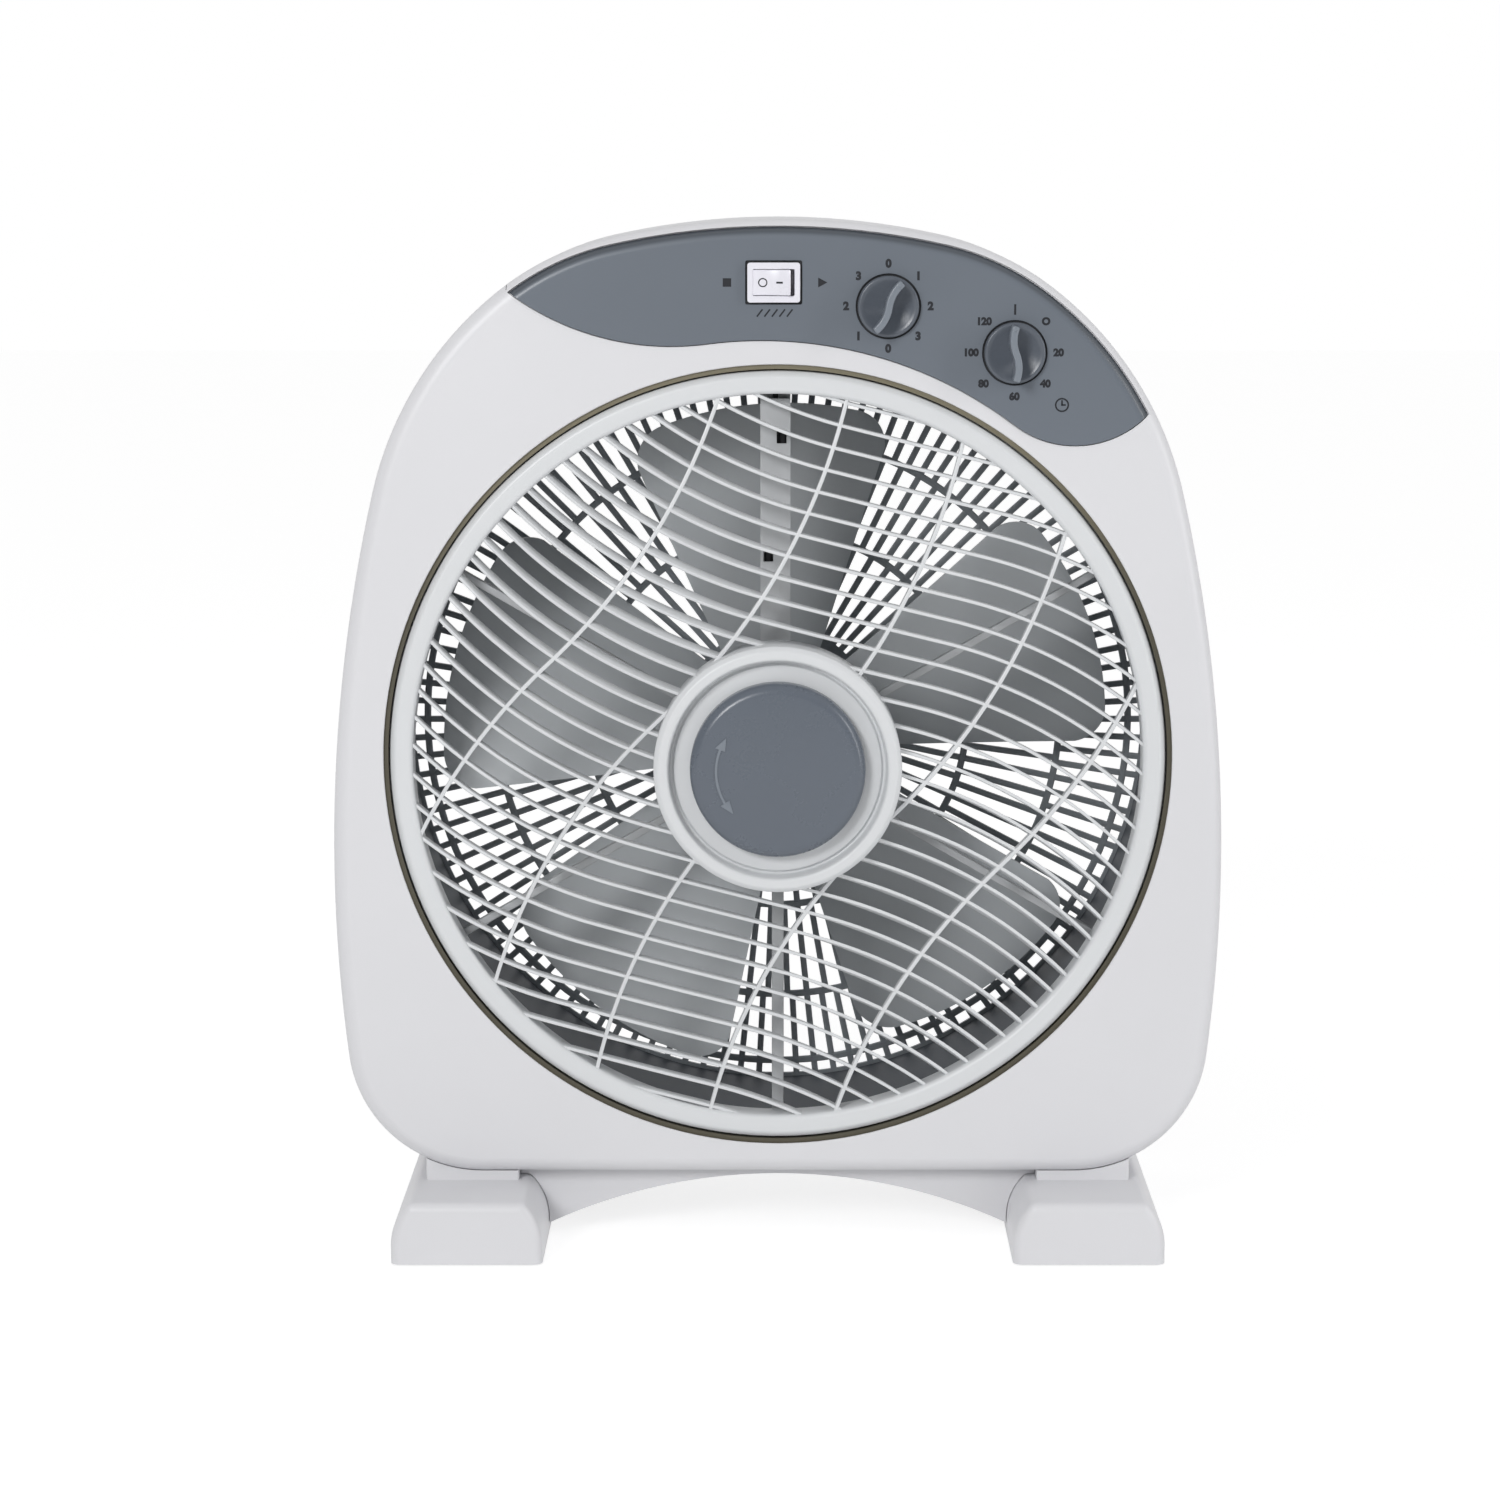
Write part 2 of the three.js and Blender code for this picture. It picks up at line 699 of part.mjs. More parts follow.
function louverGrille() {
  const slat = sCurve(-rad(slatSlope), slatStraight, slatBendRadius, -1);
  const rib = sCurve(rad(ribSlope), 0, ribBendRadius, 1);
  const bars = [];
  const lean = (u, v) => rad(slatLean) * Math.min(Math.max(-2.4 * u * v, 0), 1);
  for (let i = -slatsEachSide; i <= slatsEachSide; i += 1) {
    const rise = i * slatPitch;
    bars.push(louverBar(slat, slatDrift * rise, rise, slatThickness, slatDepth, 0, lean, 44));
  }
  for (let i = -ribsEachSide; i <= ribsEachSide; i += 1) {
    const flat = () => 0;
    bars.push(louverBar(rib, i * ribStepX, i * ribStepZ, ribThickness, ribDepth, ribSink, flat, 50));
  }
  const middle = rod(hubRadius - 1.2, hubFrontY - 5, 0, 0, 0, hubSides);
  const field = joined(bars.filter(Boolean)).subtract(middle);
  const rimBack = frontY + ringDepth;
  const ring = turned([
    [ringInnerRadius, slatRimY - 1.2],
    [ringInnerRadius + 1.2, frontY],
    [ringRadius - 2, frontY],
    [ringRadius, frontY + 2],
    [ringRadius, rimBack],
    [ringInnerRadius, rimBack],
  ], bigSides);
  const inner = hubRadius - hubRimWidth;
  const skirtBack = hubPlateY + hubSkirt - hubRecess;
  const hub = turned([
    [bushRadius + gap, hubPlateY],
    [inner, hubPlateY],
    [inner, hubFrontY + 1.2],
    [inner + 1.2, hubFrontY],
    [hubRadius - 2.4, hubFrontY],
    [hubRadius, hubFrontY + 2.4],
    [hubRadius, skirtBack],
    [hubRadius - wall, skirtBack],
    [hubRadius - wall, hubPlateBackY],
    [bushRadius + gap, hubPlateBackY],
  ], hubSides);
  return joined([ring, hub, field]);
}

function capNut() {
  const back = hubPlateY - gap;
  return turned([
    [louverShaftRadius + runGap, back],
    [louverShaftRadius + runGap, capFrontY + capFace],
    [0, capFrontY + capFace],
    [0, capFrontY],
    [capRadius - capRounding, capFrontY],
    [capRadius - capRounding * 0.3, capFrontY + capRounding * 0.3],
    [capRadius, capFrontY + capRounding],
    [capRadius, back],
  ].reverse(), hubSides);
}

function driveBush() {
  return turned([
    [louverShaftRadius + gap, hubPlateY],
    [bushRadius, hubPlateY],
    [bushRadius, hubPlateBackY + gap],
    [bushFlangeRadius, hubPlateBackY + gap],
    [bushFlangeRadius, bushBackY],
    [louverShaftRadius + gap, bushBackY],
  ], smallSides);
}

const louverShaft = () => (
  rod(louverShaftRadius, capFrontY + capFace + gap, syncFrontY + shaftDepth, 0, 0, smallSides)
);

// ---- Louver drive
function syncMotor() {
  let body = rod(syncRadius, syncFrontY, syncBackY, 0, 0, midSides);
  const ears = rectangle(2 * syncEarReach + 10, 10, 0, 0, 4.9);
  body = body.add(prism(ears, syncBackY - syncEarThickness, syncBackY, 3));
  body = body.subtract(rod(louverShaftRadius + runGap, syncFrontY - 1, syncFrontY + shaftDepth + gap, 0, 0, smallSides));
  for (const x of [-syncEarReach, syncEarReach]) {
    body = body.subtract(rod(screwRadius + gap, syncFrontY, syncBackY + 1, x, 0, screwSides));
  }
  return body;
}

function screw(headY, bite, x, z, direction = 1, radius = screwRadius, head = screwHeadRadius) {
  const under = headY + direction * screwHead;
  return turned([
    [0, headY],
    [head, headY],
    [head, under],
    [radius, under],
    [radius, under + direction * bite],
    [0, under + direction * bite],
  ], screwSides, x, z);
}

// ---- Motor bracket
function radialBar(angle, width, inner, outer, y0, y1) {
  const bar = block(inner, outer, y0, y1, -width / 2, width / 2);
  return bar.rotate([0, -angle, 0]);
}

function motorBracket() {
  const back = armFrontY + armDepth;
  let bracket = rod(bracketCupRadius, bracketPlateY, bracketPlateY + bracketCupDepth, 0, 0, hubSides);
  const cupBore = rod(bracketCupRadius - wall, bracketPlateBackY, bracketPlateY + bracketCupDepth + 1, 0, 0, hubSides);
  bracket = bracket.subtract(cupBore);
  const sleeve = sleeveFrontY + rimSleeve;
  const rim = tunnelRadius - gap;
  bracket = bracket.add(ringOf(tunnelRadius + tunnelWall, rim - rimWall,
    sleeveFrontY, sleeveFrontY + rimFlange, bigSides));
  bracket = bracket.add(ringOf(rim, rim - rimWall, sleeveFrontY, sleeve, bigSides));
  const inner = bracketCupRadius - wall / 2;
  const outer = rim - rimWall / 2;
  for (const angle of armAngles) {
    bracket = bracket.add(radialBar(angle, armWidth, inner, outer, armFrontY, back));
  }
  bracket = bracket.add(radialBar(270, lowerArmWidth, inner, outer, armFrontY, back));
  const left = ductOffsetX - ductWidth / 2;
  const right = ductOffsetX + ductWidth / 2;
  bracket = bracket.add(block(left, right, armFrontY, armFrontY + wall, inner, outer));
  for (const x of [-syncEarReach, syncEarReach]) {
    bracket = bracket.subtract(rod(screwRadius + gap, bracketPlateY - 1, bracketPlateBackY + 1, x, 0, screwSides));
  }
  const slot = leadRadius + 2 * gap;
  bracket = bracket.subtract(block(ductOffsetX - slot, ductOffsetX + slot, sleeveFrontY - 1,
    leadCrossY + slot, ringInnerRadius + 3, tunnelRadius + 10));
  bracket = bracket.subtract(upright(slot, bracketCupRadius - 6, bracketCupRadius + 2, ductOffsetX, leadY));
  for (const [x, z] of throughBoltPlaces()) {
    const bore = throughBoltRadius + gap;
    bracket = bracket.subtract(rod(bore, bracketPlateY - 1, bracketPlateBackY + 1, x, z, screwSides));
  }
  return bracket;
}

function wireDuctCover() {
  const left = ductOffsetX - ductWidth / 2;
  const right = ductOffsetX + ductWidth / 2;
  const front = armFrontY - gap - ductDepth;
  const low = bracketCupRadius + gap;
  const high = ringInnerRadius - wall;
  let cover = block(left, right, front, armFrontY - gap, low, high);
  cover = cover.subtract(block(left + ductWall, right - ductWall, front + ductWall, armFrontY, low - 1, high + 1));
  for (const [x, width, z] of ductSlots) {
    cover = cover.subtract(block(x - width / 2, x + width / 2, front - 1, front + ductWall + 1,
      z - ductSlotHeight / 2, z + ductSlotHeight / 2));
  }
  return cover;
}

// ---- Motor
const throughBoltPlaces = () => [45, 225].map((angle) => [
  throughBoltCircle * Math.cos(rad(angle)),
  throughBoltCircle * Math.sin(rad(angle)),
]);

function boltBores(y0, y1) {
  return joined(throughBoltPlaces().map(([x, z]) => rod(throughBoltRadius + gap, y0, y1, x, z, screwSides)));
}

function motorCover(outerY, openY) {
  const side = Math.sign(openY - outerY);
  const bore = bearingRadius + gap;
  const cover = turned([
    [bore - 2, outerY],
    [motorRadius - 4, outerY],
    [motorRadius, outerY + side * 4],
    [motorRadius, openY],
    [coilRadius + 1, openY],
    [coilRadius + 1, outerY + side * (4 + coverWall)],
    [bore + coverWall, outerY + side * (4 + coverWall)],
    [bore + coverWall, outerY + side * (bearingLength + 2 * coverWall)],
    [bore, outerY + side * (bearingLength + 2 * coverWall)],
    [bore, outerY + side * coverWall],
    [bore - 2, outerY + side * coverWall],
  ], midSides);
  return cover.subtract(boltBores(motorFrontY - 1, motorBackY + 1));
}

function stator() {
  const stack = ringOf(motorRadius, stackBore, stackFrontY, stackBackY, midSides);
  return stack.subtract(boltBores(stackFrontY - 1, stackBackY + 1));
}

function winding(y0, y1) {
  return ringOf(coilRadius, stackBore + 2, y0, y1, midSides);
}

function bearing(outerY, side) {
  const near = outerY + side * (coverWall + gap);
  const far = near + side * bearingLength;
  return ringOf(bearingRadius, shaftRadius + runGap, Math.min(near, far), Math.max(near, far), smallSides);
}

function motorShaft() {
  return rod(shaftRadius, motorFrontY + coverWall + gap, motorBackY + shaftTail, 0, 0, smallSides);
}

function motorRotor() {
  return ringOf(rotorRadius, shaftRadius + gap, stackFrontY - 1, stackBackY + 1, midSides);
}

// ---- Impeller
function bladeOutline() {
  const half = rad(bladeSweep / 2);
  const inset = Math.asin(bladeCorner / (bladeTip - bladeCorner));
  const cornerX = (bladeTip - bladeCorner) * Math.cos(half - inset);
  const cornerZ = (bladeTip - bladeCorner) * Math.sin(half - inset);
  const root = impellerHubRadius - bladeRootSink;
  const shape = new THREE.Shape();
  shape.moveTo(root, bladeRootWidth / 2);
  shape.lineTo(root, -bladeRootWidth / 2);
  shape.absarc(cornerX, -cornerZ, bladeCorner, -half - Math.PI / 2 + bladeCornerTrim, inset - half);
  shape.absarc(0, 0, bladeTip, inset - half, half - inset);
  shape.absarc(cornerX, cornerZ, bladeCorner, half - inset, half + Math.PI / 2 - bladeCornerTrim);
  return shape;
}

// Cambered section of a blade, wide enough for the outline to cut it back
function bladeSection() {
  const half = bladeTip * Math.sin(rad(bladeSweep / 2)) + 10;
  const spans = 4;
  const front = [];
  const back = [];
  for (let i = 0; i <= spans; i += 1) {
    const x = half * (2 * i / spans - 1);
    const bow = bladeCamber * (1 - (x / half) ** 2);
    front.push(new THREE.Vector2(x, bow + bladeThickness / 2));
    back.push(new THREE.Vector2(x, bow - bladeThickness / 2));
  }
  return new THREE.Shape([...front, ...back.reverse()]);
}

function blade(direction, midY) {
  const steps = 4;
  const points = [];
  const frames = { tangents: [], normals: [], binormals: [] };
  for (let i = 0; i <= steps; i += 1) {
    const share = i / steps;
    const reach = THREE.MathUtils.lerp(impellerHubRadius - 6, bladeTip + 2, share);
    const pitch = rad(THREE.MathUtils.lerp(rootPitch, tipPitch, share));
    points.push(new THREE.Vector3(reach, midY, 0));
    frames.tangents.push(new THREE.Vector3(1, 0, 0));
    frames.normals.push(new THREE.Vector3(0, -Math.sin(pitch), Math.cos(pitch)));
    frames.binormals.push(new THREE.Vector3(0, -Math.cos(pitch), -Math.sin(pitch)));
  }
  const extrudePath = new LaidCurve(points, [], []);
  extrudePath.computeFrenetFrames = () => frames;
  const sheet = solidOf(new THREE.ExtrudeGeometry(bladeSection(), { steps, extrudePath }));
  const trim = prism(bladeOutline(), -casingDepth, casingDepth, 2);
  return sheet.intersect(trim).rotate([0, -direction, 0]);
}

function impeller() {
  const webY = impellerBackY - impellerEdge - impellerHubWall;
  const hub = turned([
    [shaftRadius + gap, impellerFrontY],
    [shaftRadius + gap, impellerBackY],
    [impellerHubRadius - impellerEdge, impellerBackY],
    [impellerHubRadius, impellerBackY - impellerEdge],
    [impellerHubRadius, impellerFrontY],
    [impellerHubRadius - impellerHubWall, impellerFrontY],
    [impellerHubRadius - impellerHubWall, webY],
    [shaftRadius + impellerCoreWall, webY],
    [shaftRadius + impellerCoreWall, impellerFrontY],
  ], midSides);
  const midY = impellerFrontY + impellerHubDepth / 2 + bladeSetback;
  const bore = rod(impellerHubRadius - impellerHubWall / 2, -casingDepth, casingDepth, 0, 0, midSides);
  const blades = [];
  for (let i = 0; i < bladeCount; i += 1) {
    blades.push(blade(bladeStart + 360 * i / bladeCount, midY).subtract(bore));
  }
  return joined([hub, ...blades]);
}

const bladeNut = () => turned([
  [shaftRadius + gap, impellerBackY + gap],
  [nutRadius, impellerBackY + gap],
  [nutRadius - 1, impellerBackY + gap + nutDepth],
  [shaftRadius + gap, impellerBackY + gap + nutDepth],
], 12);

// ---- Controls
function knob(x, z) {
  const back = frontY - panelProud + knobRecess - gap;
  const shoulder = back - knobBase;
  const top = shoulder - knobGrip;
  const base = turned([
    [0, shoulder],
    [knobRadius - 1.2, shoulder],
    [knobRadius, shoulder + 1.2],
    [knobRadius, back],
    [0, back],
  ], midSides);
  const bar = prism(rectangle(knobGripWidth, 2 * knobRadius - 3, 0, 0, knobGripWidth / 2 - 0.2),
    top, shoulder + 1, 3);
  const bore = rod(knobShaftRadius + gap, back - knobBoreDepth, back + 1, 0, 0, smallSides);
  return base.add(bar).subtract(bore).translate([x, 0, z]);
}

function knobShaft(x, z, deep) {
  const back = frontY - panelProud + knobRecess - gap;
  return rod(knobShaftRadius, back - knobBoreDepth + gap, seatBackY + deep, x, z, smallSides);
}

function speedSwitch() {
  const front = seatBackY + gap;
  const shape = rectangle(switchSide, switchSide, speedKnobX, speedKnobZ, 3);
  const body = prism(shape, front, front + switchDepth, 1);
  return body.subtract(rod(knobShaftRadius + runGap, front - 1, front + shaftDepth, speedKnobX, speedKnobZ, smallSides));
}

function timerBody() {
  const front = seatBackY + gap;
  const body = rod(timerRadius, front, front + timerDepth, timerKnobX, timerKnobZ, midSides);
  return body.subtract(rod(knobShaftRadius + runGap, front - 1, front + shaftDepth, timerKnobX, timerKnobZ, smallSides));
}

function capacitor() {
  const [width, depth, height] = capacitorSize;
  const front = seatBackY + gap;
  return prism(rectangle(width, height, capacitorX, capacitorZ, 2), front, front + depth, 1);
}

// A lead along a smooth run of points
function lead(points, steps) {
  const extrudePath = new THREE.CatmullRomCurve3(points.map((point) => new THREE.Vector3(...point)));
  const section = new THREE.Shape();
  section.absarc(0, 0, leadRadius, 0, 2 * Math.PI);
  return solidOf(new THREE.ExtrudeGeometry(section, { steps, extrudePath, curveSegments: 3 }));
}

function motorLead() {
  const x = ductOffsetX;
  const edge = openingRadius + wall;
  return lead([
    [speedKnobX - switchSide / 2 - gap, seatBackY + switchDepth / 2, speedKnobZ - 8],
    [speedKnobX - switchSide / 2 - 12, seatBackY + switchDepth / 2, speedKnobZ - 10],
    [x + 4, leadY, edge + 12],
    [x, leadCrossY, edge + 3],
    [x, leadCrossY, edge - 1],
    [x, leadCrossY - 0.3, tunnelRadius - 2],
    [x, leadY, ringInnerRadius],
    [x, leadY, ringInnerRadius - 12],
    [x, leadY, bracketCupRadius + 20],
    [x, leadY, motorRadius + 2 * gap],
  ], 30);
}

function supplyLead() {
  const side = tunnelRadius + tunnelWall;
  return lead([
    [inletX, rearY - wall - 6 - gap, inletZ],
    [inletX + 4, rearY - wall - 16, inletZ + 3],
    [side - 16, 18, -100],
    [side + 5, 0, -40],
    [side + 6, -6, 20],
    [side - 8, -14, 90],
    [side - 42, -18, 150],
    [timerKnobX + 3, timerDepth + seatBackY + 14, timerKnobZ + 2],
    [bossPlaces[3][0], -16, speedKnobZ - 10],
    [speedKnobX, -30, speedKnobZ + 4],
    [rockerX + 18, -36, rockerZ],
    [rockerX, frontY - panelProud - gap + rockerBodyDepth + gap + leadRadius + 0.1, rockerZ],
  ], 40);
}

const rockerPivotY = frontY - panelProud + 1.9;
const pocketHalf = paddleHalf + 1.1;

function rockerFrame() {
  const bezelBack = frontY - panelProud - gap;
  const bezelFront = bezelBack - bezelThickness;
  const bodyBack = bezelBack + rockerBodyDepth;
  const bezel = prism(rectangle(bezelWidth, bezelHeight, 0, 0, 1), bezelFront, bezelBack, 1);
  const body = prism(rectangle(rockerBodyWidth, rockerBodyHeight), bezelBack - 1, bodyBack);
  let frame = bezel.add(body);
  const pocketHeight = paddleHeight + 2 * gap;
  const pocket = prism(rectangle(2 * pocketHalf, pocketHeight), bezelFront - 1, rockerPivotY + 7);
  frame = frame.subtract(pocket);
  const pin = new THREE.CylinderGeometry(paddlePinRadius + gap, paddlePinRadius + gap,
    pocketHeight + 2 * rockerWall + gap, 10);
  pin.rotateX(Math.PI / 2);
  pin.translate(0, rockerPivotY, 0);
  return frame.subtract(solidOf(pin)).translate([rockerX, 0, rockerZ]);
}

function rockerPaddle() {
  const shape = new THREE.Shape();
  const crest = 5.2;
  shape.moveTo(-paddleHalf, crest);
  shape.lineTo(0, crest - 1.8);
  shape.lineTo(paddleHalf, crest);
  shape.lineTo(paddleHalf - 1.2, -0.6);
  shape.lineTo(2, -4);
  shape.lineTo(-2, -4);
  shape.lineTo(-paddleHalf + 1.2, -0.6);
  const geometry = new THREE.ExtrudeGeometry(shape, { depth: paddleHeight, bevelEnabled: false });
  geometry.translate(0, 0, -paddleHeight / 2);
  geometry.scale(1, -1, 1);
  const pin = new THREE.CylinderGeometry(paddlePinRadius, paddlePinRadius,
    paddleHeight + 2 * rockerWall, 10);
  pin.rotateX(Math.PI / 2);
  const paddle = solidOf(geometry).add(solidOf(pin));
  return paddle.rotate([0, 0, -paddleTilt]).translate([rockerX, rockerPivotY, rockerZ]);
}

// ---- Stand
const floorZ = -axisZ;

const footSole = floorZ + padThickness - padSink;
const footCrown = floorZ + footHeight;

// Front view of a foot, grown outward by `grow`
function footOutline(x, grow) {
  const rise = footCrown - footSole;
  const lean = Math.atan2((footBottom - footTop) / 2, rise);
  const arcZ = footCrown - footShoulder;
  const arcX = footBottom / 2 - (footShoulder + Math.sin(lean) * (arcZ - footSole)) / Math.cos(lean);
  const sole = footBottom / 2 + grow / Math.cos(lean) + grow * Math.tan(lean);
  const radius = footShoulder + grow;
  const shape = new THREE.Shape();
  shape.moveTo(x - sole, footSole - grow);
  shape.lineTo(x + sole, footSole - grow);
  shape.absarc(x + arcX, arcZ, radius, lean, Math.PI / 2);
  shape.absarc(x - arcX, arcZ, radius, Math.PI / 2, Math.PI - lean);
  return shape;
}

function upright(radius, z0, z1, x, y, sides = smallSides) {
  const geometry = new THREE.CylinderGeometry(radius, radius, z1 - z0, sides);
  geometry.rotateX(Math.PI / 2);
  geometry.translate(x, y, (z0 + z1) / 2);
  return solidOf(geometry);
}

function foot(side) {
  const x = side * footX;
  let body = easedPrism(footOutline(x, 0), -footReach, footReach, footEdge, footEdge, 2, 2);
  const inner = footReach - footEdge - footWall;
  body = body.subtract(prism(footOutline(x, -footWall), -inner, inner, 2));
  body = body.subtract(block(x - footBottom / 2 + footWall + 1, x + footBottom / 2 - footWall - 1,
    -inner, inner, footSole - 1, footSole + footWall + 1));
  const stem = rectangle(stemWidth, standHeight - footHeight + 8, x, footCrown + (standHeight - footHeight) / 2 + 2);
  body = body.add(prism(stem, -stemReach, stemReach));
  for (const y of [-padSpan, padSpan]) {
    body = body.add(upright(padRadius + 2, footSole, footCrown - 1, x, y));
    body = body.subtract(upright(padRadius + gap, footSole - 1, footSole + padSink, x, y));
  }
  body = body.subtract(prism(casingOutline(-gap), -footReach, footReach));
  for (const y of footScrewYs) {
    body = body.subtract(upright(screwRadius + gap, footSole, undersideZ + 5, x, y, screwSides));
  }
  return body;
}

function pad(x, y) {
  return upright(padRadius, floorZ, floorZ + padThickness - gap, x, y);
}

// Front view of the bridge between the feet, drawn in by `inset`
function bridgeOutline(inset) {
  const half = footX - stemWidth / 2 - gap - inset;
  const centreZ = floorZ + archHeight - archRadius;
  const radius = archRadius + inset;
  const arc = Math.asin(half / radius);
  const top = undersideZ - gap + inset;
  const shape = new THREE.Shape();
  shape.moveTo(half, top);
  shape.lineTo(-half, top);
  shape.absarc(0, centreZ, radius, Math.PI / 2 + arc, Math.PI / 2 - arc, true);
  return shape;
}

function baseBridge() {
  let bridge = prism(bridgeOutline(0), -bridgeReach, bridgeReach, 5);
  const inner = bridgeReach - bridgeWall;
  for (const side of [-1, 1]) {
    const beside = prism(footOutline(side * footX, gap), -footReach, footReach, 2);
    bridge = bridge.subtract(beside);
  }
  let pocket = prism(bridgeOutline(bridgeWall), -inner, inner, 5);
  for (const side of [-1, 1]) {
    pocket = pocket.subtract(prism(footOutline(side * footX, gap + bridgeWall), -footReach, footReach, 2));
  }
  const below = block(-footX, footX, -footReach, footReach, floorZ - archRadius, floorZ + bridgeLift);
  return bridge.subtract(pocket).subtract(below);
}

// ---- Assembly
const colours = {
  shell: 0xdadadd,
  louver: 0xdcdcde,
  panel: 0x717882,
  cap: 0x6c7480,
  rear: 0x3c434c,
  bracket: 0xb7b9bb,
  blade: 0x808588,
  steel: 0x9a9da1,
  copper: 0xa8683a,
  brass: 0xb59a56,
  black: 0x24272b,
  white: 0xe5e4ec,
  rubber: 0x2b2b2e,
};

const fan = new THREE.Group();
fan.position.z = axisZ;

function place(name, solid, colour, roughness = 0.45, metalness = 0) {
  const material = new THREE.MeshStandardMaterial({ color: colours[colour], roughness, metalness });
  const mesh = new THREE.Mesh(geometryOf(solid), material);
  mesh.name = name;
  fan.add(mesh);
}

place('front_shell', frontShell(), 'shell');
place('rear_shell', rearShell(), 'rear', 0.5);
place('rear_guard', rearGuard(), 'rear', 0.5);
place('control_panel', controlPanel(), 'panel', 0.4);
place('louver_grille', louverGrille(), 'louver');
place('cap_nut', capNut(), 'cap', 0.4);
place('louver_bush', driveBush(), 'brass', 0.35, 0.8);
place('louver_shaft', louverShaft(), 'steel', 0.3, 0.9);
place('louver_motor', syncMotor(), 'steel', 0.4, 0.7);
place('motor_bracket', motorBracket(), 'bracket');
place('wire_duct_cover', wireDuctCover(), 'bracket');
place('motor_front_cover', motorCover(motorFrontY, stackFrontY - gap), 'steel', 0.45, 0.7);
place('motor_rear_cover', motorCover(motorBackY, stackBackY + gap), 'steel', 0.45, 0.7);
place('stator_stack', stator(), 'steel', 0.55, 0.8);
place('front_winding', winding(stackFrontY - gap - coilDepth, stackFrontY - gap), 'copper', 0.4, 0.6);
place('rear_winding', winding(stackBackY + gap, stackBackY + gap + coilDepth), 'copper', 0.4, 0.6);
place('front_bearing', bearing(motorFrontY, 1), 'brass', 0.35, 0.8);
place('rear_bearing', bearing(motorBackY, -1), 'brass', 0.35, 0.8);
place('motor_shaft', motorShaft(), 'steel', 0.25, 0.9);
place('motor_rotor', motorRotor(), 'steel', 0.5, 0.8);
place('impeller', impeller(), 'blade', 0.25);
place('blade_nut', bladeNut(), 'panel');
place('speed_knob', knob(0, 0).rotate([0, speedKnobTurn, 0]).translate([speedKnobX, 0, speedKnobZ]), 'panel');
place('speed_shaft', knobShaft(speedKnobX, speedKnobZ, 7), 'brass', 0.35, 0.8);
place('speed_switch', speedSwitch(), 'black');
place('timer_knob', knob(timerKnobX, timerKnobZ), 'panel');
place('timer_shaft', knobShaft(timerKnobX, timerKnobZ, 7), 'brass', 0.35, 0.8);
place('timer_body', timerBody(), 'black');
place('run_capacitor', capacitor(), 'black');
place('rocker_frame', rockerFrame(), 'white');
place('rocker_paddle', rockerPaddle(), 'white', 0.35);
place('base_bridge', baseBridge(), 'shell');
for (const [word, side] of [['left', -1], ['right', 1]]) {
  place(`foot_${word}`, foot(side), 'shell');
  place(`pad_front_${word}`, pad(side * footX, -padSpan), 'rubber', 0.9);
  place(`pad_rear_${word}`, pad(side * footX, padSpan), 'rubber', 0.9);
}
place('motor_lead', motorLead(), 'white', 0.5);
place('supply_lead', supplyLead(), 'black', 0.5);
for (const [word, side] of [['left', -1], ['right', 1]]) {
  footScrewYs.forEach((y, i) => {
    const head = footCrown - footWall - gap - screwHead;
    const bite = undersideZ + footBossHeight - 3 - footCrown;
    const solid = screw(0, bite + footWall, 0, 0).rotate([90, 0, 0]).translate([side * footX, y, head]);
    place(`foot_screw_${word}_${i + 1}`, solid, 'steel', 0.3, 0.9);
  });
}
bossPlaces.forEach(([x, z], i) => {
  const head = seamY + seamGap + wall + gap + screwHead;
  place(`shell_screw_${i + 1}`, screw(head, wall + screwBite, x, z, -1), 'steel', 0.3, 0.9);
});
guardScrewPlaces().forEach(([x, z], i) => {
  const head = rearY + gap + screwHead;
  const bite = guardThickness + 2 * gap + wall;
  place(`guard_screw_${i + 1}`, screw(head, bite, x, z, -1, screwRadius - gap), 'steel', 0.3, 0.9);
});
throughBoltPlaces().forEach(([x, z], i) => {
  const head = bracketPlateY - gap - screwHead;
  const bite = motorBackY - bracketPlateY - 2;
  place(`motor_bolt_${i + 1}`, screw(head, bite, x, z, 1, throughBoltRadius, 3.2), 'steel', 0.3, 0.9);
});
[-syncEarReach, syncEarReach].forEach((x, i) => {
  const head = syncBackY - syncEarThickness - gap - screwHead;
  place(`drive_screw_${i + 1}`, screw(head, 4.6, x, 0), 'steel', 0.3, 0.9);
});
place('cord_inlet', turned([
  [inletBore, rearY - wall - 6],
  [inletRadius, rearY - wall - 6],
  [inletRadius, rearY + gap],
  [inletRadius + 2.5, rearY + gap],
  [inletRadius + 1.5, rearY + gap + 2.4],
  [inletBore, rearY + gap + 2.4],
], smallSides, inletX, inletZ), 'rubber', 0.8);

export default fan;
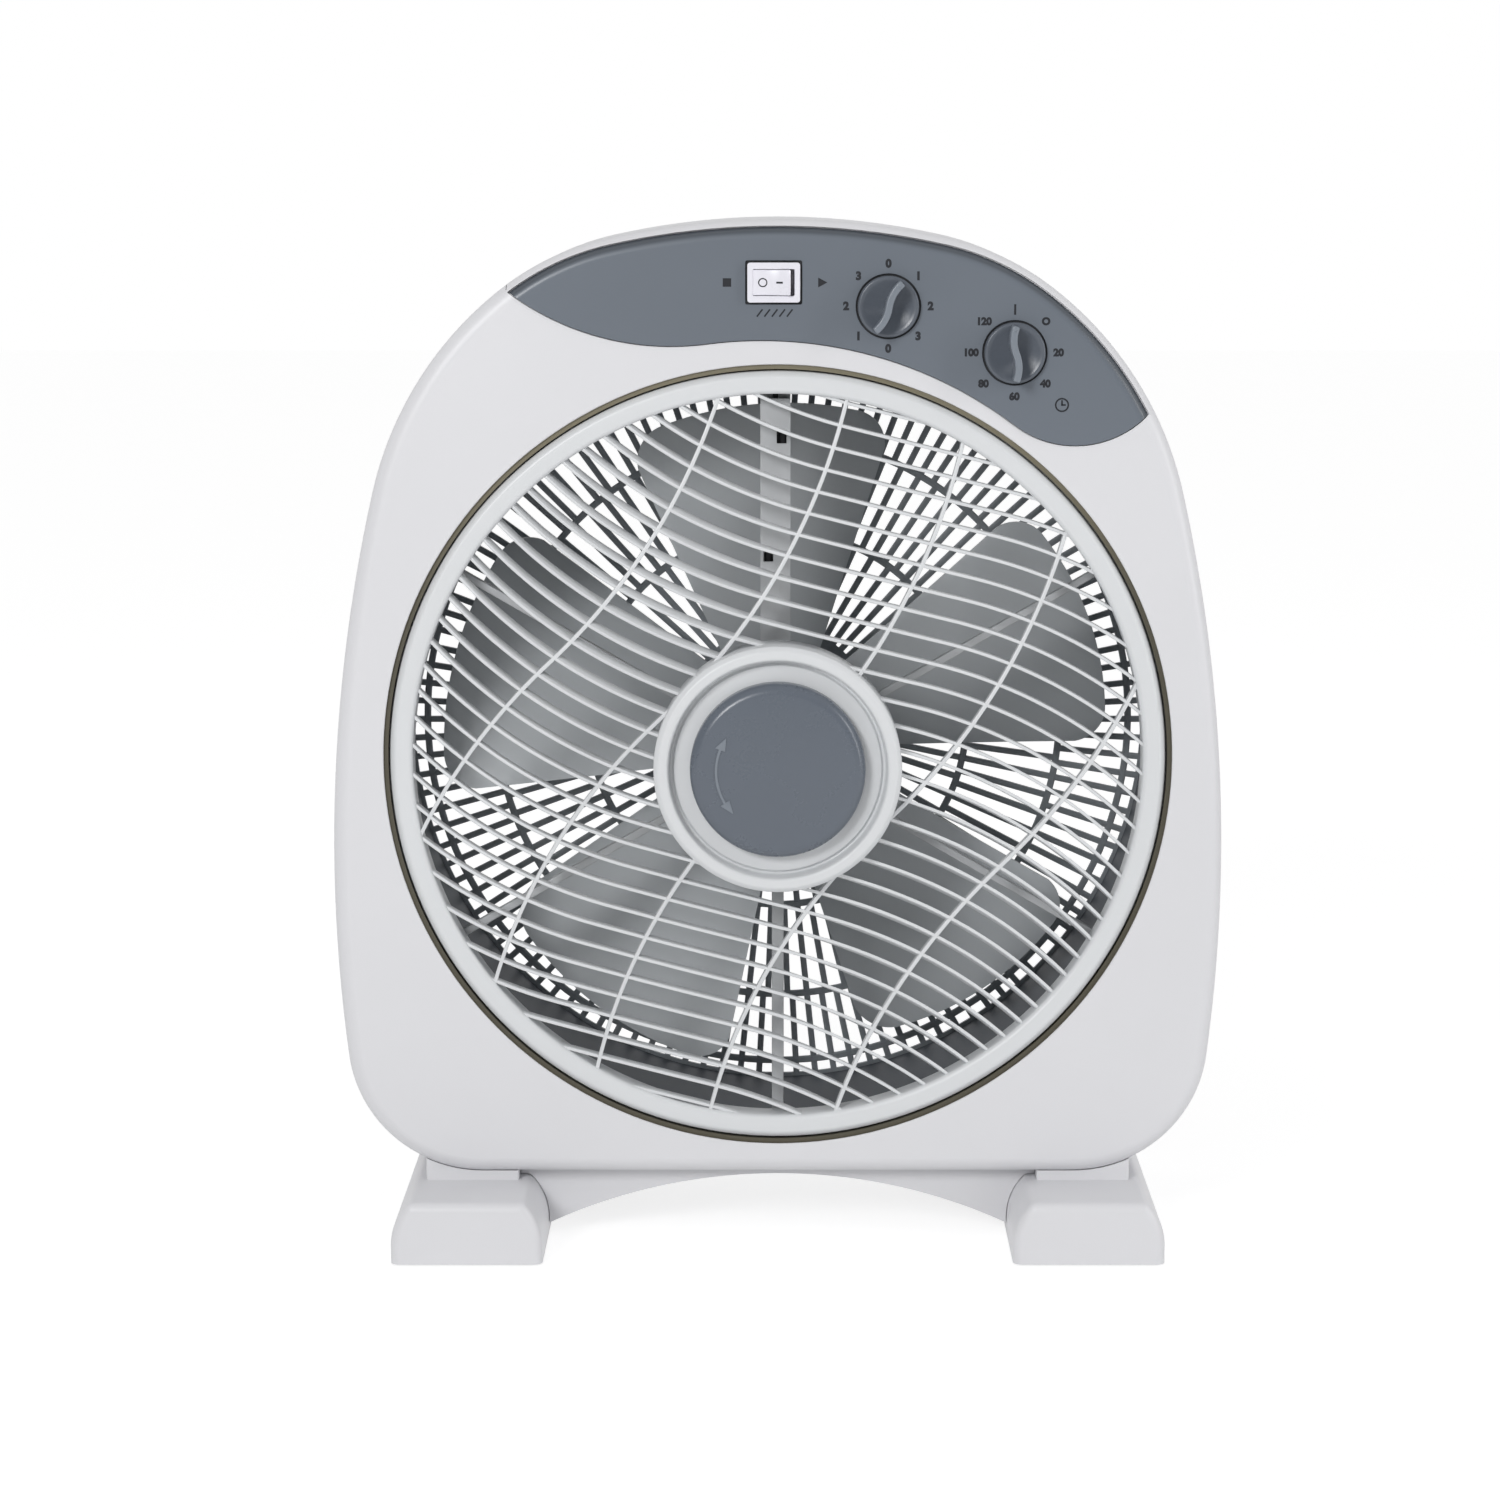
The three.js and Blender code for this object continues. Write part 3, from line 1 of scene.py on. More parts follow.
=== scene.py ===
from math import asin, atan2, ceil, copysign, cos, degrees, hypot, pi, radians, sin, sqrt, tan
import bmesh
import bpy
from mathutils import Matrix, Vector


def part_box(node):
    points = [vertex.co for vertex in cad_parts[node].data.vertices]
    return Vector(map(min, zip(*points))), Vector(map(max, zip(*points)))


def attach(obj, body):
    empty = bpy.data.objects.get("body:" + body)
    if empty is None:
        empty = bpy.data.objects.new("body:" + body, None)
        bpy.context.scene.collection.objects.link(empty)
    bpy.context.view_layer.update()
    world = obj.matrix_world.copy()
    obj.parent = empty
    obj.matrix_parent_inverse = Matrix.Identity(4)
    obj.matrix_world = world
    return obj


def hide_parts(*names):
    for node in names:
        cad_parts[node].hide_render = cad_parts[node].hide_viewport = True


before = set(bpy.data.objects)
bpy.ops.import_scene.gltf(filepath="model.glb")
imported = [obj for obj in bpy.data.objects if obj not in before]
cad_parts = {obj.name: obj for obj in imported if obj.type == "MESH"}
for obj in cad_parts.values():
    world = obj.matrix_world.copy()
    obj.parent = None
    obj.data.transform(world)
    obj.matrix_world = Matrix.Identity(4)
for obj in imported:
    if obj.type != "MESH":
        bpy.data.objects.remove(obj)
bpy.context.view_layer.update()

mm = 0.001
axisHeight = (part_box("cap_nut")[0].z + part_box("cap_nut")[1].z) / 2  # of the fan's axis above the floor


# Pieces are modelled in millimetres about the fan's axis, and fitted() brings them to size and place
def front(node):
    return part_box(node)[0].y / mm


def back(node):
    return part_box(node)[1].y / mm


def centre(node):  # seen from the front
    low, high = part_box(node)
    return (low.x + high.x) / 2 / mm, ((low.z + high.z) / 2 - axisHeight) / mm


def around(radius, angle):  # place on a circle about the axis, anticlockwise from the right
    return radius * cos(radians(angle)), radius * sin(radians(angle))


faceFront, seamFront = front("front_shell"), back("front_shell")
rearFace = back("rear_shell")
underside, crownRise = ((corner.z - axisHeight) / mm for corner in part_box("front_shell"))
floorLevel = -axisHeight / mm
print("frame loaded, axis", round(axisHeight, 4))


def deselectAll():
    if bpy.context.mode != "OBJECT":
        bpy.ops.object.mode_set(mode="OBJECT")
    bpy.ops.object.select_all(action="DESELECT")


def choose(*pieces):
    deselectAll()
    for piece in pieces:
        piece.select_set(True)
    bpy.context.view_layer.objects.active = pieces[0]


def named(piece, name):
    piece.name = piece.data.name = name
    return piece


def selectAll():
    bpy.ops.mesh.select_all(action="SELECT")


def openEdit(piece):
    choose(piece)
    bpy.ops.object.mode_set(mode="EDIT")
    selectAll()


def closeEdit():
    bpy.ops.object.mode_set(mode="OBJECT")
    return bpy.context.object


def pick(kind, test):  # selects what passes the test, in edit mode
    bpy.ops.mesh.select_mode(type=kind)
    bpy.ops.mesh.select_all(action="DESELECT")
    shape = bmesh.from_edit_mesh(bpy.context.object.data)
    for part in {"VERT": shape.verts, "EDGE": shape.edges, "FACE": shape.faces}[kind]:
        if test(part):
            part.select_set(True)
    shape.select_flush_mode()
    bmesh.update_edit_mesh(bpy.context.object.data)


def weld(reach):
    selectAll()
    bpy.ops.mesh.remove_doubles(threshold=reach)


def extrude(x, y, z):
    bpy.ops.mesh.extrude_region_move(TRANSFORM_OT_translate={"value": (x, y, z)})


def faced():  # turns all faces outwards and leaves edit mode
    selectAll()
    bpy.ops.mesh.normals_make_consistent(inside=False)
    return closeEdit()


def startPoint(x, y, z):
    deselectAll()
    bpy.ops.mesh.primitive_plane_add(size=1, enter_editmode=True)
    bpy.ops.mesh.select_mode(type="VERT")
    bpy.ops.mesh.merge(type="CENTER")
    bpy.ops.transform.translate(value=(x, y, z))
    return bpy.context.object


def here():  # where the drawing point stands
    shape = bmesh.from_edit_mesh(bpy.context.object.data)
    return next(v.co.copy() for v in shape.verts if v.select)


def drawTo(x, z):
    now = here()
    extrude(x - now.x, 0, z - now.z)


def drawArc(x, z, turn, fine=0.02):  # about a centre, anticlockwise seen from the front
    radius = hypot(here().x - x, here().z - z)
    steps = max(2, ceil(radians(abs(turn)) / sqrt(8 * fine / radius)))
    bpy.ops.mesh.spin(steps=steps, angle=radians(turn), center=(x, here().y, z), axis=(0, 1, 0))


def drawOn(heading, radius, turn):  # arc that carries on at a heading; gives the heading at its end
    side = copysign(radius, turn)
    angle = radians(heading)
    drawArc(here().x - side * sin(angle), here().z + side * cos(angle), turn)
    return heading + turn


def filled(x, y, z):  # fills the outline just drawn and extrudes it
    weld(0.01)
    bpy.ops.mesh.edge_face_add()
    selectAll()
    extrude(x, y, z)
    return faced()


# Closes the slits that cuts leave where faces nearly meet
def mended(piece):
    openEdit(piece)
    weld(0.02)
    bpy.ops.mesh.dissolve_degenerate(threshold=0.01)
    bpy.ops.mesh.delete_loose()
    bpy.ops.mesh.select_mode(type="EDGE")
    bpy.ops.mesh.select_all(action="DESELECT")
    bpy.ops.mesh.select_non_manifold(use_multi_face=False, use_non_contiguous=False, use_verts=False)
    bpy.ops.mesh.fill_holes(sides=12)
    return faced()


def modified(piece, kind, **settings):
    choose(piece)
    bpy.ops.object.modifier_add(type=kind)
    modifier = piece.modifiers[-1]
    for name, value in settings.items():
        setattr(modifier, name, value)
    bpy.ops.object.modifier_apply(modifier=modifier.name)
    return piece


def rounded(piece, width, segments=3, angle=35):
    return modified(piece, "BEVEL", width=width, segments=segments, limit_method="ANGLE",
                    angle_limit=radians(angle))


def bevelled(piece, test, width, segments):  # only the edges that pass the test
    openEdit(piece)
    pick("EDGE", test)
    bpy.ops.mesh.bevel(offset=width, segments=segments)
    return closeEdit()


def combined(piece, *others, how="UNION"):
    for other in others:
        modified(piece, "BOOLEAN", object=other, operation=how, solver="EXACT")
        bpy.data.objects.remove(other)
    return piece


def cut(piece, *tools):
    return combined(piece, *tools, how="DIFFERENCE")


def shared(piece, other):
    return combined(piece, other, how="INTERSECT")


def shifted(piece, x, y, z):
    choose(piece)
    bpy.ops.transform.translate(value=(x, y, z))
    bpy.ops.object.transform_apply()
    return piece


def spun(piece, turn, axis="Y"):  # in degrees, about the middle
    choose(piece)
    bpy.ops.transform.rotate(value=radians(turn), orient_axis=axis, center_override=(0, 0, 0))
    bpy.ops.object.transform_apply()
    return piece


def copied(piece, shift=(0, 0, 0), turn=0):
    choose(piece)
    bpy.ops.object.duplicate()
    return spun(bpy.context.object, turn) if turn else shifted(bpy.context.object, *shift)


def joined(*pieces):
    choose(*pieces)
    bpy.ops.object.join()
    return bpy.context.object


def halfTurned(line):  # joined to its copy turned half round
    openEdit(joined(line, copied(line, turn=180)))
    weld(0.01)
    return closeEdit()


# Turned piece: profile of (radius, y) pairs, closed by itself unless both ends are on the axis
def turned(profile, steps=96, centre=(0, 0), rounding=0):
    startPoint(*profile[0], 0)
    path = profile[1:] if max(profile[0][0], profile[-1][0]) == 0 else profile[1:] + profile[:1]
    for (r0, y0), (r1, y1) in zip([profile[0]] + path, path):
        extrude(r1 - r0, y1 - y0, 0)
    selectAll()
    bpy.ops.mesh.spin(steps=steps, angle=2 * pi, center=(0, 0, 0), axis=(0, 1, 0))
    weld(0.01)
    piece = faced()
    if rounding:
        rounded(piece, rounding)
    return shifted(piece, centre[0], 0, centre[1])


def pipe(inner, outer, front, back, steps=96, centre=(0, 0)):
    return turned([(inner, front), (outer, front), (outer, back), (inner, back)], steps, centre)


def disc(radius, front, back, steps=96, centre=(0, 0)):
    return pipe(0, radius, front, back, steps, centre)


def prism(points, front, back):  # outline of (x, z) points, run from front to back
    startPoint(points[0][0], front, points[0][1])
    for point in points[1:]:
        drawTo(*point)
    return filled(0, back - front, 0)


def block(low, high, corner=0, segments=4):  # between two corners, its edges along y rounded if asked
    deselectAll()
    bpy.ops.mesh.primitive_cube_add(size=1, location=[(a + b) / 2 for a, b in zip(low, high)],
                                    scale=[b - a for a, b in zip(low, high)])
    bpy.ops.object.transform_apply()
    piece = bpy.context.object
    if corner:
        bevelled(piece, lambda e: abs(e.verts[0].co.y - e.verts[1].co.y) > 0.01, corner, segments)
    return piece


def slab(centre, size, front, back, corner=0, segments=4):  # block about a centre seen from the front
    (x, z), (wide, high) = centre, size
    return block((x - wide / 2, front, z - high / 2), (x + wide / 2, back, z + high / 2), corner, segments)


def post(radius, low, height, x, y, steps):  # upright cylinder
    deselectAll()
    bpy.ops.mesh.primitive_cylinder_add(vertices=steps, radius=radius, depth=height,
                                        location=(x, y, low + height / 2))
    bpy.ops.object.transform_apply()
    return bpy.context.object


def inlaid(piece, finishes, test):  # the second finish on the faces that pass the test
    for finish in finishes:
        piece.data.materials.append(finish)
    openEdit(piece)
    pick("FACE", test)
    piece.active_material_index = 1
    bpy.ops.object.material_slot_assign()
    return closeEdit()


def twoTone(base, trim, finishes):
    for piece, finish in zip((base, trim), finishes):
        piece.data.materials.append(finish)
    return joined(base, trim)


# Brings a piece to its size and place, and gives it its name, finish and body; the nodes it stands for are
# hidden
def fitted(name, piece, finish, slot, *nodes, body="housing", smooth=35):
    choose(named(piece, name))
    piece.scale = (mm, mm, mm)
    piece.location = (0, 0, axisHeight)
    bpy.ops.object.transform_apply()
    bpy.ops.object.shade_smooth_by_angle(angle=radians(smooth))
    if finish:
        piece.data.materials.append(finish)
    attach(piece, body)
    if nodes:
        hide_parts(*nodes)
    return piece


class Flow:  # a socket whose sums and products add Math nodes
    def __init__(self, finish, socket):
        self.finish, self.socket = finish, socket

    def maths(self, operation, first, second):
        return self.finish.add("ShaderNodeMath", {"operation": operation}, {0: first, 1: second})

    def __add__(self, other):
        return self.maths("ADD", self, other)

    def __radd__(self, other):
        return self.maths("ADD", other, self)

    def __sub__(self, other):
        return self.maths("SUBTRACT", self, other)

    def __rsub__(self, other):
        return self.maths("SUBTRACT", other, self)

    def __mul__(self, other):
        return self.maths("MULTIPLY", self, other)

    def __rmul__(self, other):
        return self.maths("MULTIPLY", other, self)


class Finish:
    def __init__(self, name):
        self.material = bpy.data.materials.new(name)
        self.material.use_nodes = True
        self.tree = self.material.node_tree
        self.shader = self.tree.nodes["Principled BSDF"]
        self.place = self.add("ShaderNodeTexCoord", output="Object")

    # Any node: its settings first, then the values or links of its sockets
    def add(self, kind, settings={}, inputs={}, output=0):
        node = self.tree.nodes.new(kind)
        for name, value in settings.items():
            setattr(node, name, value)
        for name, value in inputs.items():
            self.feed(node.inputs[name], value)
        return Flow(self, node.outputs[output])

    def feed(self, socket, value):
        if isinstance(value, Flow):
            self.tree.links.new(value.socket, socket)
        else:
            socket.default_value = value

    def set(self, **values):
        for name, value in values.items():
            self.feed(self.shader.inputs[name.replace("_", " ")], value)

    def noise(self, scale, detail=2, place=None, roughness=0.5):
        return self.add("ShaderNodeTexNoise", {}, {
            "Vector": place or self.place, "Scale": scale, "Detail": detail, "Roughness": roughness,
        }, "Fac")

    def mixed(self, share, first, second):  # between two colours
        return self.add("ShaderNodeMix", {"data_type": "RGBA"}, {0: share, 6: first, 7: second}, 2)

    def ramp(self, value, low, high):  # 0 below low, 1 above high
        return self.add("ShaderNodeMapRange", {"interpolation_type": "SMOOTHSTEP"}, {
            "Value": value, "From Min": low, "From Max": high,
        })

    def mapped(self, **values):
        return self.add("ShaderNodeMapping", {}, {"Vector": self.place, **values})

    def relief(self, height, distance):  # distance in mm
        self.set(Normal=self.add("ShaderNodeBump", {}, {"Height": height, "Distance": distance * mm}))


def screenColour(*values):  # screen values, 0 to 255, as light
    shares = [value / 255 for value in values]
    return (*(share / 12.92 if share <= 0.04045 else ((share + 0.055) / 1.055) ** 2.4 for share in shares), 1)


def scaled(colour, factor):
    return tuple(min(1, c * factor) for c in colour[:3]) + (1,)


# Moulded plastic: clouding of colour, uneven gloss, a fine skin, and painted shade that darkens it along an
# axis if asked
def mouldedPlastic(name, colour, roughness, clouding=0.03, skin=0.02, skinScale=700, paintedShade=None):
    finish = Finish(name)
    colour = screenColour(*colour)
    fine = finish.noise(skinScale)
    base = finish.mixed(finish.ramp(finish.noise(7, 3), 0.3, 0.7), scaled(colour, 1 - clouding),
                        scaled(colour, 1 + clouding))
    if paintedShade:
        axis, start, end, share = paintedShade
        along = finish.add("ShaderNodeSeparateXYZ", {}, {"Vector": finish.place}, axis)
        base = finish.mixed(finish.ramp(along, start * mm, end * mm) * share, base, scaled(colour, 0.25))
    finish.set(Base_Color=base, Roughness=roughness - 0.03 + 0.08 * finish.noise(22, 3) + 0.01 * fine)
    finish.relief(fine, skin)
    return finish.material


def metalFinish(name, colour, roughness, lines, streak=0.12):
    finish = Finish(name)
    grain = finish.noise(1, 3, finish.mapped(Scale=lines), 0.6)
    finish.set(
        Base_Color=finish.mixed(grain, scaled(colour, 1 - streak), scaled(colour, 1 + streak)),
        Roughness=roughness - 0.05 + 0.12 * grain + 0.06 * finish.noise(30, 3),
        Metallic=1.0,
    )
    finish.relief(grain, 0.01)
    return finish.material


def windingFinish(name, colour):  # turns of lacquered wire round the fan's axis
    finish = Finish(name)
    wire = finish.add("ShaderNodeTexWave", {"wave_type": "RINGS", "rings_direction": "Y"}, {
        "Vector": finish.mapped(Location=(0, 0, -axisHeight)), "Scale": 300, "Distortion": 1.5, "Detail": 2,
        "Detail Scale": 0.6,
    }, "Fac")
    finish.set(Base_Color=finish.mixed(wire, scaled(colour, 0.35), colour), Roughness=0.28 + 0.25 * wire,
               Metallic=0.9)
    finish.relief(wire, 0.2)
    return finish.material


def printFinish(name, colour):  # printed ink, a little thin in places
    finish = Finish(name)
    worn = finish.ramp(finish.noise(420, 3), 0.35, 0.75)
    finish.set(Base_Color=finish.mixed(worn, colour, scaled(colour, 1.3)), Roughness=0.5 + 0.1 * worn)
    return finish.material


def rubberFinish(name, colour):
    finish = Finish(name)
    pores = finish.noise(900, 4)
    bloom = finish.ramp(finish.noise(40, 4), 0.45, 0.8)
    finish.set(Base_Color=finish.mixed(bloom * 0.4, colour, scaled(colour, 1.9)),
               Roughness=0.72 + 0.12 * pores)
    finish.relief(pores, 0.08)
    return finish.material


shellFinish = mouldedPlastic("shellPlastic", (218, 218, 221), 0.4, 0.012, 0.006)
louverFinish = mouldedPlastic("louverPlastic", (215, 217, 219), 0.36, 0.012, 0.006)
# The opening's inner wall: olive grey standing in for the gap's shade and reflected light, darker towards the
# bottom as painted shade
gapShadeFinish = mouldedPlastic("openingWallShade", (119, 113, 94), 0.6, skin=0.01,
                           paintedShade=("Z", 150 - floorLevel, 50 - floorLevel, 0.75))
knobFinish = mouldedPlastic("knobPlastic", (88, 94, 103), 0.28, skin=0.008)
# A lighter copy of the cap and knob plastic for the raised arrow and the knob ridges: painted highlight
paintedHighlightFinish = mouldedPlastic("paintedHighlightPlastic", (122, 129, 138), 0.3, skin=0.008)
capFinish = mouldedPlastic("capPlastic", (94, 101, 111), 0.26, skin=0.003)
rearFinish = mouldedPlastic("rearPlastic", (78, 84, 92), 0.52, 0.06, 0.06, 900)
guardFinish = mouldedPlastic("guardPlastic", (152, 157, 162), 0.45, 0.06, 0.03)
bracketFinish = mouldedPlastic("bracketPlastic", (183, 185, 187), 0.45)
bladeFinish = mouldedPlastic("bladePlastic", (190, 194, 197), 0.34, 0.04, 0.004, 300)
rockerFinish = mouldedPlastic("rockerPlastic", (229, 228, 236), 0.26, 0.012, 0.006)
# Dark plastic of the switch bodies and the cord inlet, also laid in the control recesses as painted shade
darkFinish = mouldedPlastic("darkPlastic", (38, 40, 44), 0.5, 0.1, 0.03)
inkFinish = printFinish("printedInk", screenColour(12, 15, 24))
steelFinish = metalFinish("groundSteel", (0.56, 0.57, 0.58), 0.28, (1800, 60, 1800))
sheetFinish = metalFinish("rolledSteel", (0.42, 0.43, 0.44), 0.42, (900, 120, 900))
laminateFinish = metalFinish("laminatedSteel", (0.34, 0.34, 0.35), 0.5, (60, 2200, 60), 0.3)
brassFinish = metalFinish("turnedBrass", (0.7, 0.55, 0.28), 0.3, (1500, 80, 1500))
screwFinish = metalFinish("platedSteel", (0.62, 0.62, 0.6), 0.24, (2500, 300, 2500))
copperFinish = windingFinish("lacqueredCopper", (0.55, 0.25, 0.1, 1))
padFinish = rubberFinish("padRubber", screenColour(43, 43, 46))
sleeveFinish = rubberFinish("leadSleeve", screenColour(34, 34, 37))
print("finishes made")

casing = {
    "arcs": [(332.6, 12.5), (117.2, 24.8), (155.8, 39.3), (709.8, 20.2), (58.9, 83.2)],  # radius, turn
    "rounding": 7,
    "wall": 2.6,
    "opening": 171.2,
    "openingEdge": 0.7,
    "skirt": 16,
    "ledge": (169.2, 1.6, 3.1),  # radius, depths of its front and back below the face
    "tunnel": (170.5, 2.5, -42.9, 59.2),  # radius, wall, front, back
    "seam": 0.4,
    "rearInset": 1.2,
    "rearTaper": 2.5,
    "rearEdge": 3,
    "guardRebate": (175.9, 0.3),  # radius, clearance
    "collar": (3, 6.2),  # width beyond the rebate, depth
    "posts": (4.9, 3.3, 1.8),  # radii of a screw post, its well and its bore
    "inletBore": 6.3,
    "grip": (104, 24, crownRise - 28.9),
}
wall, opening = casing["wall"], casing["opening"]


def casingPrism(inset, y0, y1):
    startPoint(0, y0, crownRise - inset)
    heading = 0
    for radius, turn in casing["arcs"]:
        heading = drawOn(heading, radius - inset, -turn)
    drawTo(-here().x, here().z)
    for radius, turn in reversed(casing["arcs"]):
        heading = drawOn(heading, radius - inset, -turn)
    return filled(0, y1 - y0, 0)


def casingBlank(inset, y0, y1, rounding):
    piece = casingPrism(inset, y0, y1)
    return bevelled(piece, lambda e: max(v.co.y for v in e.verts) < y0 + 0.01, rounding, 8)


# The panel's lower edge is a chain of arcs, and its upper edge follows the casing's
panel = {
    "start": (-115.8, crownRise - 30.1),
    "heading": -37.1,
    "arcs": [(116.5, 44.6), (180, -44.5), (43, 85.5)],
    "edgeInset": 3.2,
    "proud": 0.8,
    "thickness": 2.8,
    "edge": 0.4,
    "crownRounding": 5,
    "gap": 0.42,
    "runOut": 60,
}


def panelZone(grow):
    x, z = panel["start"]
    lean, out, heading = radians(panel["heading"]), panel["runOut"], panel["heading"]
    startPoint(x - out, faceFront - 20, 2 * crownRise)
    drawTo(x - out, z - out * tan(lean) - grow / cos(lean))
    drawTo(x + grow * sin(lean), z - grow * cos(lean))
    for radius, turn in panel["arcs"]:
        heading = drawOn(heading, radius + copysign(grow, turn), turn)
    across, up = around(out, heading)
    drawTo(here().x + across, here().z + up)
    drawTo(here().x, 2 * crownRise)
    return filled(0, 50, 0)


def trimmedZone(grow):
    return shared(panelZone(grow), casingPrism(panel["edgeInset"] - grow, faceFront - 30, faceFront + 40))


knobs = ("speed", "timer")
controls = {
    "speed": centre("speed_shaft"),
    "timer": centre("timer_shaft"),
    "rocker": centre("rocker_frame"),
    "recess": (13.9, 1.2),
    "shaftHole": 3.35,
    "rockerHole": (21, 15.6),
    "rockerRecess": (24.2, 18.6),
}


def shaftHole(which, radius, y0, y1):
    return disc(radius, y0, y1, 48, controls[which])


def rockerHole():
    return slab(controls["rocker"], controls["rockerHole"], faceFront - 5, faceFront + 12)


blank = casingBlank(0, faceFront, seamFront, casing["rounding"])
seatFront = faceFront - panel["proud"] + panel["thickness"] + panel["gap"]
frontShell = cut(copied(blank), casingBlank(wall, faceFront + wall, seamFront + 5, casing["rounding"] - wall))
seatBlank = copied(blank, (0, seatFront - faceFront, 0))
seat = cut(shared(trimmedZone(panel["gap"] + wall), copied(seatBlank)), copied(seatBlank, (0, wall, 0)))
pocket = cut(trimmedZone(panel["gap"]), seatBlank)
skirt = pipe(opening - 5, opening + wall, faceFront + 1, faceFront + casing["skirt"], 180)
combined(frontShell, seat, skirt)
ledge, ledgeFront, ledgeBack = casing["ledge"][0], *(faceFront + deep for deep in casing["ledge"][1:])
openingCut = turned([
    (0, faceFront - 5), (opening, faceFront - 5), (opening, ledgeFront), (ledge, ledgeFront),
    (ledge, ledgeBack), (opening, ledgeBack), (opening, seamFront - 5), (0, seamFront - 5),
], 180)
shaftHoles = [shaftHole(which, controls["shaftHole"], faceFront - 5, seatFront + 8) for which in knobs]
cut(frontShell, pocket, openingCut, *shaftHoles, rockerHole())


def onOpeningEdge(v):
    return abs(v.co.y - faceFront) < 0.05 and abs(hypot(v.co.x, v.co.z) - opening) < 0.3


# Faces of the opening's wall, which take the painted gap shade
def inShadedOpening(face):
    x, y, z = face.calc_center_median()
    return hypot(x, z) < opening + 0.1 and y > faceFront + 1


bevelled(frontShell, lambda e: all(onOpeningEdge(v) for v in e.verts), casing["openingEdge"], 3)
x, z = panel["start"]  # a seam runs up from the panel's tip
cut(frontShell, block((x - 0.2, faceFront - 2, z), (x + 0.1, faceFront + 10, z + 6)))
inlaid(mended(frontShell), [shellFinish, gapShadeFinish], inShadedOpening)
fitted("front_shell_moulding", frontShell, None, "shell", "front_shell", smooth=30)
modified(frontShell, "WEIGHTED_NORMAL", keep_sharp=True)
print("front shell made")

panelFace = faceFront - panel["proud"]
# The panel darkens towards the back of its rolled-over edge: painted shade of the groove along that edge
panelFinish = mouldedPlastic("panelPlastic", (104, 111, 120), 0.33, skin=0.01,
                             paintedShade=("Y", panelFace + 0.03, panelFace + 1.1, 0.6))
controlPanel = casingBlank(panel["edgeInset"], panelFace, faceFront + 14, panel["crownRounding"])
shared(controlPanel, panelZone(0))
cut(controlPanel, shifted(blank, 0, panel["thickness"] - panel["proud"], 0))
recess, deep = controls["recess"]
for which in knobs:
    cut(controlPanel, shaftHole(which, recess, panelFace - 5, panelFace + deep),
        shaftHole(which, controls["shaftHole"], panelFace - 5, panelFace + 6))
cut(controlPanel, slab(controls["rocker"], controls["rockerRecess"], panelFace - 5, panelFace + deep, 0.8),
    rockerHole())
rounded(mended(controlPanel), panel["edge"], 3, 50)


# The recess floors and walls round the knobs and the rocker take the dark finish as painted shade
def inShadedRecess(face):  # floors and walls of the recesses round the controls
    x, y, z = face.calc_center_median()
    speed, timer, rocker = ((abs(x - controls[which][0]), abs(z - controls[which][1]))
                            for which in (*knobs, "rocker"))
    near = min(hypot(*speed), hypot(*timer)) < recess + 0.1 or all(
        away < side / 2 + 0.1 for away, side in zip(rocker, controls["rockerRecess"]))
    return near and panelFace + 0.05 < y < panelFace + deep + 0.05


inlaid(controlPanel, [panelFinish, darkFinish], inShadedRecess)
fitted("control_panel_moulding", controlPanel, None, "panel_plastic", "control_panel", smooth=30)
modified(controlPanel, "WEIGHTED_NORMAL", keep_sharp=True)
print("control panel made")

rearFront = seamFront + casing["seam"]


def rearBlank(inset, y0, y1):
    openEdit(casingPrism(inset, y0, y0 + 0.5))
    pick("FACE", lambda f: f.calc_center_median().y > y0 + 0.4 and len(f.verts) > 4)
    bpy.ops.mesh.inset(thickness=casing["rearTaper"], depth=y1 - y0 - 0.5)
    return closeEdit()


rearShell = bevelled(rearBlank(casing["rearInset"], rearFront, rearFace),
                     lambda e: min(v.co.y for v in e.verts) > rearFace - 0.01, casing["rearEdge"], 5)
(rebate, rebateGap), (collarWidth, collarDepth) = casing["guardRebate"], casing["collar"]
collar = shared(disc(rebate + collarWidth, rearFace - collarDepth, rearFace, 180), copied(rearShell))
cut(rearShell, rearBlank(casing["rearInset"] + wall, rearFront - 0.5, rearFace - wall))
tunnel, tunnelWall, tunnelFront, tunnelBack = casing["tunnel"]
combined(rearShell, collar, pipe(tunnel - 4, tunnel + tunnelWall, tunnelFront, tunnelBack, 180))
for number in (1, 2, 3, 4):
    place = centre("shell_screw_%d" % number)
    stem, well, bore = casing["posts"]
    combined(rearShell, disc(stem, rearFront, rearFace - 1.3, 48, place))
    cut(rearShell, disc(well, rearFront + wall, rearFace + 2, 48, place),
        disc(bore, rearFront - 1, rearFront + wall + 1, 24, place))
cut(rearShell, disc(tunnel, -50, rearFace + 5, 180), disc(rebate + rebateGap, tunnelBack, rearFace + 5, 180),
    disc(casing["inletBore"], rearFace - 12, rearFace + 5, 48, centre("cord_inlet")))
gripWide, gripHigh, gripRise = casing["grip"]
cut(rearShell, slab((0, gripRise), (gripWide, gripHigh), rearFace - 8, rearFace + 5, gripHigh / 2 - 0.5, 10))
bevelled(rearShell, lambda e: all(abs(v.co.y - rearFace) < 0.05 and abs(v.co.x) < gripWide / 2 + 1 and
                                  abs(v.co.z - gripRise) < gripHigh / 2 + 1 for v in e.verts), 1, 3)
fitted("rear_shell_moulding", mended(rearShell), rearFinish, "rear_plastic", "rear_shell", smooth=30)
print("rear shell made")

